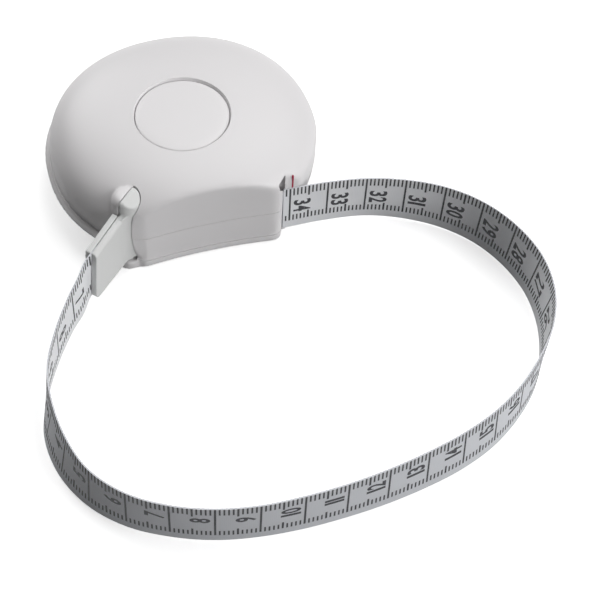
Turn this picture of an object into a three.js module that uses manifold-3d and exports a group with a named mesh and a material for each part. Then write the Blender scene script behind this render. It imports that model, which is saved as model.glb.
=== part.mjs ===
// A retractable body tape in a round moulded case, in millimetres with Z up.
// The origin is on the floor, on the axis of the reel and the button. The case's flat front faces -Y.
import * as THREE from "three";
import { mergeVertices } from "three/addons/utils/BufferGeometryUtils.js";
import Module from "manifold-3d";

const wasm = await Module();
wasm.setup();

// Gaps between pieces, and how far a cut runs past what it cuts
const CLEARANCE = 0.3;
const SEAT_GAP = 0.1;
const OVERRUN = 2;
const BEYOND = 90;

// Plan of the case: its rim's oval, and how far the foot and the dome stand in from that oval
const RIM_OVAL = { x: 0.7, y: 2.5, halfWidth: 34.8, halfDepth: 33.5 };
const FOOT_INSET = { x: 2, y: 1.2, halfWidth: 4.5, halfDepth: 3.5 };
const DOME_INSET = { x: 0.35, y: 0.3, halfWidth: 0.7, halfDepth: 0.7 };
const OVAL_POWER = 2.12;

// Heights and walls of the case
const BASE_THICKNESS = 1.2;
const CASE_WALL = 1.6;
const PARTING_HEIGHT = 9.5;
const RIM_BAND_HEIGHT = 1.7;
const RIM_LIP = 0.3;
const UPRIGHT_WALL_HEIGHT = 3.4;
const CASE_HEIGHT = 27.7;
const DOME_POWER = 2.7;

// Flat front of the case, a little hollow across its width, and the step beside it for the tape
const FRONT_Y = -22.5;
const FRONT_HOLLOW = 0.9;
const FRONT_WALL = 1;
const FRONT_LEFT_X = -17;
const FRONT_RIGHT_X = 20;
const FRONT_CORNER_RADIUS = 2.2;
const STEP_DEPTH = 1.7;

// Socket for the tab's peg at the case's front left corner, and the way the tab points
const SOCKET_X = -18.8;
const SOCKET_Y = -19.4;
const TAB_TURN = THREE.MathUtils.degToRad(225);
const PEG_RADIUS = 3.4;
const KNOB_TOP = 24.6;
const KNOB_FALL = 0.6;
const PEG_CROWN = 0.9;
const PEG_CROWN_SHARE = 1 / 3;
const LEDGE_RADIUS = 4;
const LEDGE_TOP = 2.7;
const PEG_BOTTOM = 4;
const SOCKET_WALL = 0.9;

// How far the case's hook reaches round the peg at its top, its fullest and its foot
const HOOK_TOP_REACH = 0.9;
const HOOK_REACH = 2.6;
const HOOK_FOOT_REACH = 1.5;
const HOOK_FULLEST = 12.5;

// Tab at the tape's end: two shells with the tape between them
const TAB_LENGTH = 15.8;
const TAB_TOP = 20.6;
const TAB_END_TOP = 19.3;
const TAB_BOTTOM = 4.4;
const TAB_TOE = 2;
const TAB_CORNER = 2.6;
const TAB_SHELL_THICKNESS = 1.3;
const PIN_RADIUS = 0.8;
const PIN_SKIN = 0.3;
const PIN_ALONG_SHARES = [0.5, 0.8];

// Tape
const TAPE_WIDTH = 14.5;
const TAPE_THICKNESS = 0.35;
const WOUND_LENGTH = 1730;
const TAPE_SIDE_GAP = 0.4;
const OUTLET_BOTTOM = 1.7;
const CHANNEL_HALF_WIDTH = 0.75;
const CHANNEL_TOP = 18.5;
const MOUTH_BOTTOM = 16.6;
const MOUTH_TOP = 22.6;
const MOUTH_LENGTH = 1.8;
const OUTLET_TAPE_Y = -21.6;
const TAPE_RUN_SHARES = [0, 0.5, 1];

// Reel
const FLANGE_RADIUS = 21.2;
const FLANGE_THICKNESS = 0.5;
const COIL_RADIUS = 20.6;
const CORE_WALL = 1.4;
const CORE_STEP = 0.5;
const LID_THICKNESS = 1;
const LID_OPENING_RADIUS = 9;
const LID_COLLAR_WALL = 1;
const LID_COLLAR_HEIGHT = 2;
const COVER_THICKNESS = 0.7;
const ANCHOR_RADIUS = 0.4;
const ANCHOR_TURN = THREE.MathUtils.degToRad(200);

// Spindle and mainspring
const SPINDLE_RADIUS = 3;
const SPINDLE_SLOT = 0.8;
const BOSS_WALL = 1.5;
const BOSS_HEIGHT = 2.5;
const HEX_RADIUS = 4.2;
const HEX_SIDES = 6;
const SPINDLE_TIP_RADIUS = 2.4;
const MAINSPRING_THICKNESS = 0.3;
const MAINSPRING_TURNS = 7;

// Button, its spring and its brake
const BUTTON_RADIUS = 11.7;
const BUTTON_GAP = 0.3;
const BUTTON_EDGE_HEIGHT = 27;
const BUTTON_CROWN = 0.3;
const BUTTON_HALFWAY_SHARE = 0.8;
const BUTTON_FACE_THICKNESS = 1.6;
const BUTTON_SKIRT = 1;
const BUTTON_LIP = 1.2;
const BUTTON_LIP_HEIGHT = 0.8;
const BUTTON_TRAVEL = 1.8;
const SLEEVE_WALL = 1.5;
const STEM_WALL = 1.2;
const STEM_GAP = 0.6;
const BRAKE_RING_RADIUS = 11.6;
const BRAKE_RING_THICKNESS = 1.5;
const BRAKE_COLLAR_WALL = 1;
const BRAKE_COLLAR_HEIGHT = 2.4;
const BRAKE_PAD_WIDTH = 2.1;
const BRAKE_PAD_THICKNESS = 0.8;
const BUTTON_WIRE_RADIUS = 0.3;
const BUTTON_SPRING_TURNS = 5;

// Case screws, driven from below
const SCREW_BOSS_GAP = 0.8;
const SCREW_TURNS = [45, 155, 325].map(THREE.MathUtils.degToRad);
const SCREW_BOSS_RADIUS = 3;
const SCREW_HEAD_RADIUS = 2.1;
const SCREW_HEAD_HEIGHT = 1.4;
const SCREW_HEAD_DEPTH = 0.4;
const SCREW_SHANK_RADIUS = 1.1;
const SCREW_LENGTH = 15;
const SCREW_SLOT = 0.6;
const SCREW_SLOT_SHARE = 0.6;

// Red reading mark beside the outlet
const MARK_X = 22.7;
const MARK_WIDTH = 0.5;
const MARK_BOTTOM = 16.4;
const MARK_HEIGHT = 4.2;
const MARK_DEPTH = 0.4;

// Steps round a circle
const OVAL_STEPS = 56;
const LARGE_STEPS = 40;
const SMALL_STEPS = 16;
const DOME_STEPS = 6;
const SPRING_STEPS = 18;
const WIRE_STEPS = 10;
const WIRE_SIDES = 5;

// Free tape from the tab round to the outlet: x, y and the height of its lower edge
const FREE_TAPE_ROUTE = [
  [-30.18, -30.78, 4.65],
  [-31.53, -32.13, 4.3],
  [-33.94, -36.26, 3.5],
  [-36.6, -40.0, 2.8],
  [-41.55, -47.6, 1.65],
  [-45.4, -56.1, 0.85],
  [-47.2, -65.55, 0.4],
  [-46.3, -75.5, 0.3],
  [-42.5, -84.7, 0.3],
  [-36.0, -92.2, 0.3],
  [-27.7, -97.7, 0.3],
  [-18.3, -101.2, 0.3],
  [-8.5, -103.1, 0.3],
  [1.5, -103.9, 0.3],
  [11.5, -103.8, 0.3],
  [21.4, -103.0, 0.3],
  [31.3, -101.4, 0.3],
  [41.0, -99.0, 0.3],
  [50.3, -95.3, 0.3],
  [58.8, -90.0, 0.3],
  [66.0, -83.1, 0.3],
  [71.3, -74.7, 0.3],
  [74.4, -65.2, 0.3],
  [74.9, -55.3, 0.3],
  [72.5, -45.6, 0.3],
  [67.5, -37.0, 0.35],
  [60.4, -30.2, 0.4],
  [51.7, -25.4, 0.5],
  [42.1, -22.6, 0.8],
  [32.1, -21.6, 1.2],
  [20.3, -21.6, 1.7],
];
const FREE_TAPE_STEPS = 80;

// Heights of the reel and the brake, from the floor up
const reelBottom = BASE_THICKNESS + CLEARANCE;
const flangeTop = reelBottom + FLANGE_THICKNESS;
const coilBottom = flangeTop + TAPE_SIDE_GAP;
const coilTop = coilBottom + TAPE_WIDTH;
const lidBottom = coilTop + TAPE_SIDE_GAP;
const lidTop = lidBottom + LID_THICKNESS;
const padTop = lidBottom - CLEARANCE;
const padBottom = padTop - BRAKE_PAD_THICKNESS;
const brakeTop = padBottom - SEAT_GAP;
const brakeBottom = brakeTop - BRAKE_RING_THICKNESS;
const coverTop = brakeBottom - BUTTON_TRAVEL - CLEARANCE;
const coverBottom = coverTop - COVER_THICKNESS;
const bossTop = BASE_THICKNESS + BOSS_HEIGHT;
const mainspringBottom = bossTop + CLEARANCE;
const mainspringTop = coverBottom - CLEARANCE;
const hexBottom = coverTop + SEAT_GAP;
const hexTop = brakeTop + CLEARANCE;
const buttonLipBottom = lidTop + BUTTON_TRAVEL + CLEARANCE;
const buttonLipTop = buttonLipBottom + BUTTON_LIP_HEIGHT;
const sleeveBottom = buttonLipTop + CLEARANCE;
const buttonUnderside = BUTTON_EDGE_HEIGHT - BUTTON_FACE_THICKNESS;
const spindleTop = buttonUnderside - BUTTON_TRAVEL - CLEARANCE;

// Radii and places worked out from the sizes above
const coreRadius = Math.sqrt(COIL_RADIUS ** 2 - (WOUND_LENGTH * TAPE_THICKNESS) / Math.PI);
const coreInside = coreRadius - CORE_WALL;
const coverRadius = coreInside + CORE_STEP - CLEARANCE;
const bossRadius = SPINDLE_RADIUS + SEAT_GAP + BOSS_WALL;
const stemInside = HEX_RADIUS + STEM_GAP;
const stemRadius = stemInside + STEM_WALL;
const buttonHole = BUTTON_RADIUS + BUTTON_GAP;
const screwCircle = FLANGE_RADIUS + SCREW_BOSS_GAP + SCREW_BOSS_RADIUS;
const footOval = standIn(RIM_OVAL, FOOT_INSET);
const domeOval = standIn(RIM_OVAL, DOME_INSET);
const frontEndY = FRONT_Y - FRONT_HOLLOW;
const stepY = FRONT_Y + STEP_DEPTH;
const upperBottom = PARTING_HEIGHT + SEAT_GAP;
const tabHalf = TAB_SHELL_THICKNESS + CLEARANCE;
const socketRadius = PEG_RADIUS + CLEARANCE;
const tapeLine = COIL_RADIUS + CLEARANCE;
const tapeEndBottom = FREE_TAPE_ROUTE[0][2];

// An oval moved and drawn in from another
function standIn(oval, inset) {
  return {
    x: oval.x + inset.x,
    y: oval.y + inset.y,
    halfWidth: oval.halfWidth - inset.halfWidth,
    halfDepth: oval.halfDepth - inset.halfDepth,
  };
}

// Materials
function plastic(colour, roughness) {
  return new THREE.MeshStandardMaterial({ color: colour, roughness, metalness: 0 });
}
function metal(colour, roughness) {
  return new THREE.MeshStandardMaterial({ color: colour, roughness, metalness: 1 });
}
const WHITE_ABS = plastic(0xe4e2e3, 0.45);
const GREY_ABS = plastic(0xd2d3d2, 0.5);
const TAPE_CLOTH = plastic(0xd9dce0, 0.6);
const REEL_ACETAL = plastic(0xb9bcc0, 0.5);
const RED_PAINT = plastic(0xc3123f, 0.5);
const BLACK_RUBBER = plastic(0x2b2b2d, 0.9);
const STEEL = metal(0xb8bcc2, 0.35);
const SPRING_STEEL = metal(0x8a9098, 0.3);

// Turns a three.js geometry into a solid that can be joined and cut
function solid(geometry) {
  const flat = geometry.index ? geometry.toNonIndexed() : geometry.clone();
  flat.deleteAttribute("normal");
  flat.deleteAttribute("uv");
  const merged = mergeVertices(flat);
  const corners = merged.index.array;
  const kept = [];
  for (let i = 0; i < corners.length; i += 3) {
    const [a, b, c] = corners.slice(i, i + 3);
    if (a !== b && b !== c && c !== a) kept.push(a, b, c);
  }
  const vertProperties = new Float32Array(merged.attributes.position.array);
  const made = new wasm.Manifold(
    new wasm.Mesh({ numProp: 3, vertProperties, triVerts: new Uint32Array(kept) }),
  );
  if (made.volume() >= 0) return made;
  const turned = new Uint32Array(kept).reverse();
  return new wasm.Manifold(new wasm.Mesh({ numProp: 3, vertProperties, triVerts: turned }));
}

function join(...pieces) {
  return pieces.reduce((whole, piece) => whole.add(piece));
}

function cut(body, ...tools) {
  return tools.reduce((rest, tool) => rest.subtract(tool), body);
}

// One named sub-part
function part(name, piece, material) {
  const mesh = piece.getMesh();
  const geometry = new THREE.BufferGeometry();
  geometry.setAttribute("position", new THREE.BufferAttribute(mesh.vertProperties, 3));
  geometry.setIndex(new THREE.BufferAttribute(mesh.triVerts, 1));
  geometry.computeVertexNormals();
  const made = new THREE.Mesh(geometry, material);
  made.name = name;
  return made;
}

// A flat outline raised from one height to another
function prism(shape, low, high) {
  const geometry = new THREE.ExtrudeGeometry(shape, {
    depth: high - low,
    bevelEnabled: false,
    curveSegments: SMALL_STEPS,
  });
  return solid(geometry.translate(0, 0, low));
}

function outline(points) {
  return new THREE.Shape(points.map(([x, y]) => new THREE.Vector2(x, y)));
}

// A profile of radius and height, turned about an upright axis
function turned(profile, steps, x = 0, y = 0) {
  const first = profile[0];
  const last = profile[profile.length - 1];
  const closed = first[0] === 0 && last[0] === 0 ? profile : [...profile, first];
  const points = closed.map(([radius, height]) => new THREE.Vector2(radius, height));
  const geometry = new THREE.LatheGeometry(points, steps).rotateX(Math.PI / 2);
  return solid(geometry.translate(x, y, 0));
}

function cylinder(radius, low, high, steps, x = 0, y = 0) {
  return turned([[0, low], [radius, low], [radius, high], [0, high]], steps, x, y);
}

function ring(inside, outside, low, high, steps) {
  return turned([[inside, low], [outside, low], [outside, high], [inside, high]], steps);
}

// A closed skin through rings of points that lie over each other, with flat ends
function stack(rings) {
  const count = rings[0].length;
  const positions = rings.flat(2);
  const faces = [];
  for (let r = 0; r + 1 < rings.length; r++) {
    for (let i = 0; i < count; i++) {
      const a = r * count + i;
      const b = r * count + ((i + 1) % count);
      faces.push(a, b, b + count, a, b + count, a + count);
    }
  }
  const top = (rings.length - 1) * count;
  for (let i = 1; i + 1 < count; i++) {
    faces.push(0, i + 1, i, top, top + i, top + i + 1);
  }
  const geometry = new THREE.BufferGeometry();
  geometry.setAttribute("position", new THREE.Float32BufferAttribute(positions, 3));
  geometry.setIndex(faces);
  return solid(geometry);
}

// One oval ring of points, pulled in by a wall and shrunk by a share about its centre
function ovalRing(oval, height, wall = 0, share = 1) {
  const points = [];
  for (let i = 0; i < OVAL_STEPS; i++) {
    const turn = (2 * Math.PI * i) / OVAL_STEPS;
    const c = Math.cos(turn);
    const s = Math.sin(turn);
    const across = Math.sign(c) * Math.abs(c) ** (2 / OVAL_POWER);
    const along = Math.sign(s) * Math.abs(s) ** (2 / OVAL_POWER);
    const x = oval.x + share * (oval.halfWidth - wall) * across;
    const y = oval.y + share * (oval.halfDepth - wall) * along;
    points.push([x, y, height]);
  }
  return points;
}

// The oval part way up the sloping side of the lower case
function slopeOval(height) {
  const share = height / (PARTING_HEIGHT - RIM_BAND_HEIGHT);
  const between = (key) => footOval[key] + share * (RIM_OVAL[key] - footOval[key]);
  return {
    x: between("x"),
    y: between("y"),
    halfWidth: between("halfWidth"),
    halfDepth: between("halfDepth"),
  };
}

// A point beside the socket: how far along the tab, and how far in front of its middle plane
function tabPoint(along, front) {
  const c = Math.cos(TAB_TURN);
  const s = Math.sin(TAB_TURN);
  return [SOCKET_X + along * c - front * s, SOCKET_Y + along * s + front * c];
}

// Everything behind the case's front in plan, with the front and side faces set back by walls
function behindFront(frontWall, sideWall) {
  const right = FRONT_RIGHT_X - sideWall;
  const endY = frontEndY + frontWall;
  const corner = FRONT_CORNER_RADIUS;
  const middle = (FRONT_LEFT_X + right - corner) / 2;
  const shape = new THREE.Shape();
  shape.moveTo(BEYOND, BEYOND);
  shape.lineTo(-BEYOND, BEYOND);
  shape.lineTo(-BEYOND, endY);
  shape.lineTo(FRONT_LEFT_X, endY);
  shape.quadraticCurveTo(middle, endY + 2 * FRONT_HOLLOW, right - corner, endY);
  shape.quadraticCurveTo(right, endY, right, endY + corner);
  shape.lineTo(right, stepY + sideWall);
  shape.lineTo(BEYOND, stepY + sideWall);
  return shape;
}

// A closed skin over a side view of points along the tab and up, between two distances in front
function acrossTab(points, back, front) {
  return stack(
    [back, front].map((distance) =>
      points.map(([along, height]) => [...tabPoint(along, distance), height]),
    ),
  );
}

// The open corner in front of the case's left flank where the tab hangs, short of the hook
function tabCorner(wall) {
  const side = [
    [BEYOND, -OVERRUN],
    [HOOK_FOOT_REACH - wall, -OVERRUN],
    [HOOK_FOOT_REACH - wall, PEG_BOTTOM],
    [HOOK_REACH - wall, HOOK_FULLEST],
    [HOOK_TOP_REACH - wall, KNOB_TOP],
    [HOOK_TOP_REACH - wall, CASE_HEIGHT + OVERRUN],
    [BEYOND, CASE_HEIGHT + OVERRUN],
  ];
  return acrossTab(side, -(tabHalf + CLEARANCE + wall), BEYOND);
}

// The plan on one side of a line along the tab: in front of it with side 1, behind it with side -1
function besideSeam(side, near) {
  return outline([
    tabPoint(-BEYOND, near),
    tabPoint(-BEYOND, side * BEYOND),
    tabPoint(BEYOND, side * BEYOND),
    tabPoint(BEYOND, near),
  ]);
}

// A round post with a rounded top
function crownedPost(radius, low, high) {
  const round = PEG_CROWN * PEG_CROWN_SHARE;
  const profile = [
    [0, low],
    [radius, low],
    [radius, high - PEG_CROWN],
    [radius - round, high - round],
    [radius - PEG_CROWN, high],
    [0, high],
  ];
  return turned(profile, SMALL_STEPS, SOCKET_X, SOCKET_Y);
}

function ear(low) {
  const behind = prism(besideSeam(-1, -CLEARANCE / 2), low, KNOB_TOP);
  return crownedPost(PEG_RADIUS + SEAT_GAP, low, KNOB_TOP).intersect(behind);
}

// Everything above the front half of the knob, which falls away to the front as the dome does
function aboveKnob() {
  const reach = PEG_RADIUS + OVERRUN;
  const profile = [
    [0, KNOB_TOP],
    [reach, KNOB_TOP - reach * KNOB_FALL],
    [reach, CASE_HEIGHT],
    [0, CASE_HEIGHT],
  ];
  return stack(
    [-reach, reach].map((along) =>
      profile.map(([front, height]) => [...tabPoint(along, front), height]),
    ),
  );
}

// The line of the tape's straight stretch, from where it leaves the coil to the outlet
function tapeRunLine() {
  const distance = Math.hypot(FRONT_RIGHT_X, OUTLET_TAPE_Y);
  const turn = Math.atan2(OUTLET_TAPE_Y, FRONT_RIGHT_X) - Math.acos(tapeLine / distance);
  return [
    new THREE.Vector2(tapeLine * Math.cos(turn), tapeLine * Math.sin(turn)),
    new THREE.Vector2(FRONT_RIGHT_X, OUTLET_TAPE_Y),
  ];
}

// The channel that the tape's straight stretch runs in, through the case's right end
function tapeChannel(low, high) {
  const [start, end] = tapeRunLine();
  const way = end.clone().sub(start).normalize();
  const side = new THREE.Vector2(-way.y, way.x).multiplyScalar(CHANNEL_HALF_WIDTH);
  const past = end.clone().addScaledVector(way, OVERRUN);
  const corners = [
    start.clone().add(side),
    start.clone().sub(side),
    past.clone().sub(side),
    past.clone().add(side),
  ];
  return prism(outline(corners.map((p) => [p.x, p.y])), low, high);
}

// The open mouth over the end of the channel, which shows beside the mark
function channelMouth() {
  const side = outline([
    [FRONT_RIGHT_X - MOUTH_LENGTH, MOUTH_BOTTOM],
    [FRONT_RIGHT_X + OVERRUN, MOUTH_BOTTOM],
    [FRONT_RIGHT_X + OVERRUN, MOUTH_TOP],
    [FRONT_RIGHT_X, MOUTH_TOP],
  ]);
  const geometry = new THREE.ExtrudeGeometry(side, {
    depth: 2 * CHANNEL_HALF_WIDTH,
    bevelEnabled: false,
  });
  geometry.rotateX(Math.PI / 2).translate(0, OUTLET_TAPE_Y + CHANNEL_HALF_WIDTH, 0);
  return solid(geometry);
}

// What both shells lose inside: the room for the reel, short of the walls round the socket
function insideWalls(rings) {
  const low = -OVERRUN;
  const high = CASE_HEIGHT + OVERRUN;
  const room = stack(rings).intersect(prism(behindFront(FRONT_WALL, CASE_WALL), low, high));
  const guard = cylinder(socketRadius + SOCKET_WALL, low, high, LARGE_STEPS, SOCKET_X, SOCKET_Y);
  return cut(room, tabCorner(CASE_WALL), guard);
}

// The outside of a shell with its flat front, the tab's corner and the peg's socket cut out
function outsideCut(body) {
  const low = -OVERRUN;
  const high = CASE_HEIGHT + OVERRUN;
  const front = body.intersect(prism(behindFront(0, 0), low, high));
  const round = cylinder(socketRadius, LEDGE_TOP, high, LARGE_STEPS, SOCKET_X, SOCKET_Y);
  const bore = round.intersect(prism(besideSeam(1, -CLEARANCE / 2), low, high));
  return cut(front, tabCorner(0), bore);
}

// A square in plan that holds the whole object
function tableSquare() {
  return [
    [-BEYOND, -BEYOND],
    [BEYOND, -BEYOND],
    [BEYOND, BEYOND],
    [-BEYOND, BEYOND],
  ];
}

function screwPlaces() {
  return SCREW_TURNS.map((turn) => [
    screwCircle * Math.cos(turn),
    screwCircle * Math.sin(turn),
  ]);
}

function lowerCase() {
  const bandBottom = PARTING_HEIGHT - RIM_BAND_HEIGHT;
  const slope = stack([
    ovalRing(footOval, 0),
    ovalRing(RIM_OVAL, bandBottom),
    ovalRing(domeOval, PARTING_HEIGHT, -RIM_LIP),
  ]);
  const block = outline([
    [FRONT_LEFT_X, 0],
    [FRONT_LEFT_X, frontEndY - OVERRUN],
    [FRONT_RIGHT_X, frontEndY - OVERRUN],
    [FRONT_RIGHT_X, 0],
  ]);
  const outside = outsideCut(slope.add(prism(block, 0, PARTING_HEIGHT)));
  const room = insideWalls([
    ovalRing(slopeOval(BASE_THICKNESS), BASE_THICKNESS, CASE_WALL),
    ovalRing(RIM_OVAL, bandBottom, CASE_WALL),
    ovalRing(domeOval, PARTING_HEIGHT, CASE_WALL),
    ovalRing(domeOval, PARTING_HEIGHT + OVERRUN, CASE_WALL),
  ]);
  const ledge = cylinder(LEDGE_RADIUS, 0, LEDGE_TOP, SMALL_STEPS, SOCKET_X, SOCKET_Y);
  const below = prism(outline(tableSquare()), 0, PARTING_HEIGHT);
  const earHalf = ear(0).intersect(below);
  const boss = cylinder(bossRadius, 0, bossTop, LARGE_STEPS);
  let made = join(cut(outside, room), ledge, earHalf, boss);
  const low = -OVERRUN;
  for (const [x, y] of screwPlaces()) {
    const recess = SCREW_HEAD_DEPTH + SCREW_HEAD_HEIGHT + CLEARANCE;
    const post = cylinder(SCREW_BOSS_RADIUS, 0, PARTING_HEIGHT - CLEARANCE, SMALL_STEPS, x, y);
    const head = cylinder(SCREW_HEAD_RADIUS + CLEARANCE, low, recess, SMALL_STEPS, x, y);
    const shank = cylinder(SCREW_SHANK_RADIUS + CLEARANCE, low, CASE_HEIGHT, SMALL_STEPS, x, y);
    made = cut(made.add(post), head, shank);
  }
  const socket = cylinder(SPINDLE_RADIUS + SEAT_GAP, BASE_THICKNESS, CASE_HEIGHT, SMALL_STEPS);
  return cut(made, socket, tapeChannel(BASE_THICKNESS, CHANNEL_TOP));
}

// Rings of the dome from the parting plane up, pulled in by a wall
function domeRings(bottom, wall) {
  const wallTop = PARTING_HEIGHT + UPRIGHT_WALL_HEIGHT;
  const rise = CASE_HEIGHT - wall - wallTop;
  const rings = [ovalRing(domeOval, bottom, wall)];
  for (let i = 0; i <= DOME_STEPS; i++) {
    const turn = (Math.PI / 2) * (i / (DOME_STEPS + 1 / 2));
    const share = Math.cos(turn) ** (2 / DOME_POWER);
    const height = wallTop + rise * Math.sin(turn) ** (2 / DOME_POWER);
    rings.push(ovalRing(domeOval, height, wall, share));
  }
  return rings;
}

function upperCase() {
  const high = CASE_HEIGHT + OVERRUN;
  const outside = outsideCut(stack(domeRings(upperBottom, 0)));
  const room = insideWalls(domeRings(upperBottom - OVERRUN, CASE_WALL));
  const sleeve = cylinder(buttonHole + SLEEVE_WALL, sleeveBottom, high, LARGE_STEPS);
  const fittings = [sleeve];
  const bores = [];
  for (const [x, y] of screwPlaces()) {
    const pilotTop = SCREW_LENGTH + 2 * SCREW_SHANK_RADIUS;
    fittings.push(cylinder(SCREW_BOSS_RADIUS, upperBottom, high, SMALL_STEPS, x, y));
    bores.push(cylinder(SCREW_SHANK_RADIUS + CLEARANCE, 0, pilotTop, SMALL_STEPS, x, y));
  }
  const inner = join(...fittings).intersect(outside);
  const earHalf = ear(upperBottom);
  const hole = cylinder(buttonHole, 0, high, LARGE_STEPS);
  const groove = new THREE.BoxGeometry(
    MARK_WIDTH + 2 * SEAT_GAP,
    2 * (MARK_DEPTH + SEAT_GAP),
    MARK_HEIGHT + 2 * SEAT_GAP,
  );
  groove.translate(MARK_X, stepY, MARK_BOTTOM + MARK_HEIGHT / 2);
  const shell = join(cut(outside, room), inner, earHalf);
  const openings = [tapeChannel(0, CHANNEL_TOP), channelMouth(), solid(groove)];
  return cut(shell, hole, ...openings, ...bores);
}

function indexMark() {
  const bar = new THREE.BoxGeometry(MARK_WIDTH, MARK_DEPTH, MARK_HEIGHT);
  return solid(bar.translate(MARK_X, stepY + MARK_DEPTH / 2, MARK_BOTTOM + MARK_HEIGHT / 2));
}

function caseScrew([x, y]) {
  const neck = SCREW_HEAD_DEPTH + SCREW_HEAD_HEIGHT;
  const profile = [
    [0, SCREW_HEAD_DEPTH],
    [SCREW_HEAD_RADIUS, SCREW_HEAD_DEPTH],
    [SCREW_HEAD_RADIUS, neck],
    [SCREW_SHANK_RADIUS, neck],
    [SCREW_SHANK_RADIUS, SCREW_LENGTH - SCREW_SHANK_RADIUS],
    [0, SCREW_LENGTH],
  ];
  const low = SCREW_HEAD_DEPTH - OVERRUN;
  const high = SCREW_HEAD_DEPTH + SCREW_HEAD_HEIGHT / 2;
  const arm = SCREW_HEAD_RADIUS * SCREW_SLOT_SHARE;
  const slots = [new THREE.BoxGeometry(2 * arm, SCREW_SLOT, high - low)];
  slots.push(new THREE.BoxGeometry(SCREW_SLOT, 2 * arm, high - low));
  const cross = slots.map((slot) => solid(slot.translate(x, y, (low + high) / 2)));
  return cut(turned(profile, SMALL_STEPS, x, y), ...cross);
}

function releaseButton() {
  const skirt = BUTTON_RADIUS - BUTTON_SKIRT;
  const lip = BUTTON_RADIUS + BUTTON_LIP;
  const edge = BUTTON_SKIRT / 2;
  return turned(
    [
      [0, BUTTON_EDGE_HEIGHT + BUTTON_CROWN],
      [BUTTON_RADIUS / 2, BUTTON_EDGE_HEIGHT + BUTTON_CROWN * BUTTON_HALFWAY_SHARE],
      [BUTTON_RADIUS - edge, BUTTON_EDGE_HEIGHT],
      [BUTTON_RADIUS, BUTTON_EDGE_HEIGHT - edge],
      [BUTTON_RADIUS, buttonLipTop],
      [lip, buttonLipTop],
      [lip, buttonLipBottom],
      [skirt, buttonLipBottom],
      [skirt, buttonUnderside],
      [stemRadius, buttonUnderside],
      [stemRadius, brakeTop + SEAT_GAP],
      [stemInside, brakeTop + SEAT_GAP],
      [stemInside, buttonUnderside],
      [0, buttonUnderside],
    ],
    LARGE_STEPS,
  );
}

// A six sided bar or hole about the spindle's axis
function hexagon(radius) {
  const corners = [];
  for (let i = 0; i < HEX_SIDES; i++) {
    const turn = (2 * Math.PI * i) / HEX_SIDES;
    corners.push([radius * Math.cos(turn), radius * Math.sin(turn)]);
  }
  return outline(corners);
}

function brakeRing() {
  const collarInside = stemRadius + CLEARANCE;
  const collar = collarInside + BRAKE_COLLAR_WALL;
  const disc = cylinder(BRAKE_RING_RADIUS, brakeBottom, brakeTop, LARGE_STEPS);
  const rim = ring(collarInside, collar, brakeBottom, brakeTop + BRAKE_COLLAR_HEIGHT, LARGE_STEPS);
  const key = prism(hexagon(HEX_RADIUS + CLEARANCE), brakeBottom - OVERRUN, brakeTop + OVERRUN);
  return cut(disc.add(rim), key);
}

function brakePad() {
  return ring(BRAKE_RING_RADIUS - BRAKE_PAD_WIDTH, BRAKE_RING_RADIUS, padBottom, padTop, LARGE_STEPS);
}

class Helix extends THREE.Curve {
  getPoint(share) {
    const turn = 2 * Math.PI * BUTTON_SPRING_TURNS * share;
    const radius = stemInside - CLEARANCE - BUTTON_WIRE_RADIUS;
    const low = hexTop + SEAT_GAP + BUTTON_WIRE_RADIUS;
    const high = buttonUnderside - SEAT_GAP - BUTTON_WIRE_RADIUS;
    const height = low + (high - low) * share;
    return new THREE.Vector3(radius * Math.cos(turn), radius * Math.sin(turn), height);
  }
}

function buttonSpring() {
  const sides = [];
  for (let i = 0; i < WIRE_SIDES; i++) {
    const turn = (2 * Math.PI * i) / WIRE_SIDES;
    sides.push([BUTTON_WIRE_RADIUS * Math.cos(turn), BUTTON_WIRE_RADIUS * Math.sin(turn)]);
  }
  const wire = new THREE.ExtrudeGeometry(outline(sides), {
    steps: BUTTON_SPRING_TURNS * WIRE_STEPS,
    bevelEnabled: false,
    extrudePath: new Helix(),
  });
  return solid(wire);
}

function spindle() {
  const foot = BASE_THICKNESS + SEAT_GAP;
  const arbor = cylinder(SPINDLE_RADIUS, foot, hexBottom, SMALL_STEPS);
  const key = prism(hexagon(HEX_RADIUS), hexBottom, hexTop);
  const tip = cylinder(SPINDLE_TIP_RADIUS, hexTop, spindleTop, SMALL_STEPS);
  const slot = new THREE.BoxGeometry(
    SPINDLE_RADIUS + OVERRUN,
    SPINDLE_SLOT,
    mainspringTop - mainspringBottom,
  );
  slot.translate((SPINDLE_RADIUS + OVERRUN) / 2, 0, (mainspringTop + mainspringBottom) / 2);
  return cut(join(arbor, key, tip), solid(slot));
}

// A strip that stands on edge along a plan line: points with x, y and the height of the lower edge
function strip(points, width, thickness) {
  const rings = points.map(([x, y, bottom], i) => {
    const [x0, y0] = points[Math.max(i - 1, 0)];
    const [x1, y1] = points[Math.min(i + 1, points.length - 1)];
    const long = Math.hypot(x1 - x0, y1 - y0);
    const dx = (-(y1 - y0) / long) * (thickness / 2);
    const dy = ((x1 - x0) / long) * (thickness / 2);
    return [
      [x + dx, y + dy, bottom],
      [x + dx, y + dy, bottom + width],
      [x - dx, y - dy, bottom + width],
      [x - dx, y - dy, bottom],
    ];
  });
  return stack(rings);
}

function mainspring() {
  const first = SPINDLE_RADIUS + CLEARANCE + MAINSPRING_THICKNESS / 2;
  const last = coreInside - CLEARANCE - MAINSPRING_THICKNESS / 2;
  const points = [];
  const count = MAINSPRING_TURNS * SPRING_STEPS;
  for (let i = 0; i <= count; i++) {
    const turn = (2 * Math.PI * i) / SPRING_STEPS;
    const radius = first + (last - first) * (i / count);
    points.push([radius * Math.cos(turn), radius * Math.sin(turn), mainspringBottom]);
  }
  return strip(points, mainspringTop - mainspringBottom, MAINSPRING_THICKNESS);
}

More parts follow.
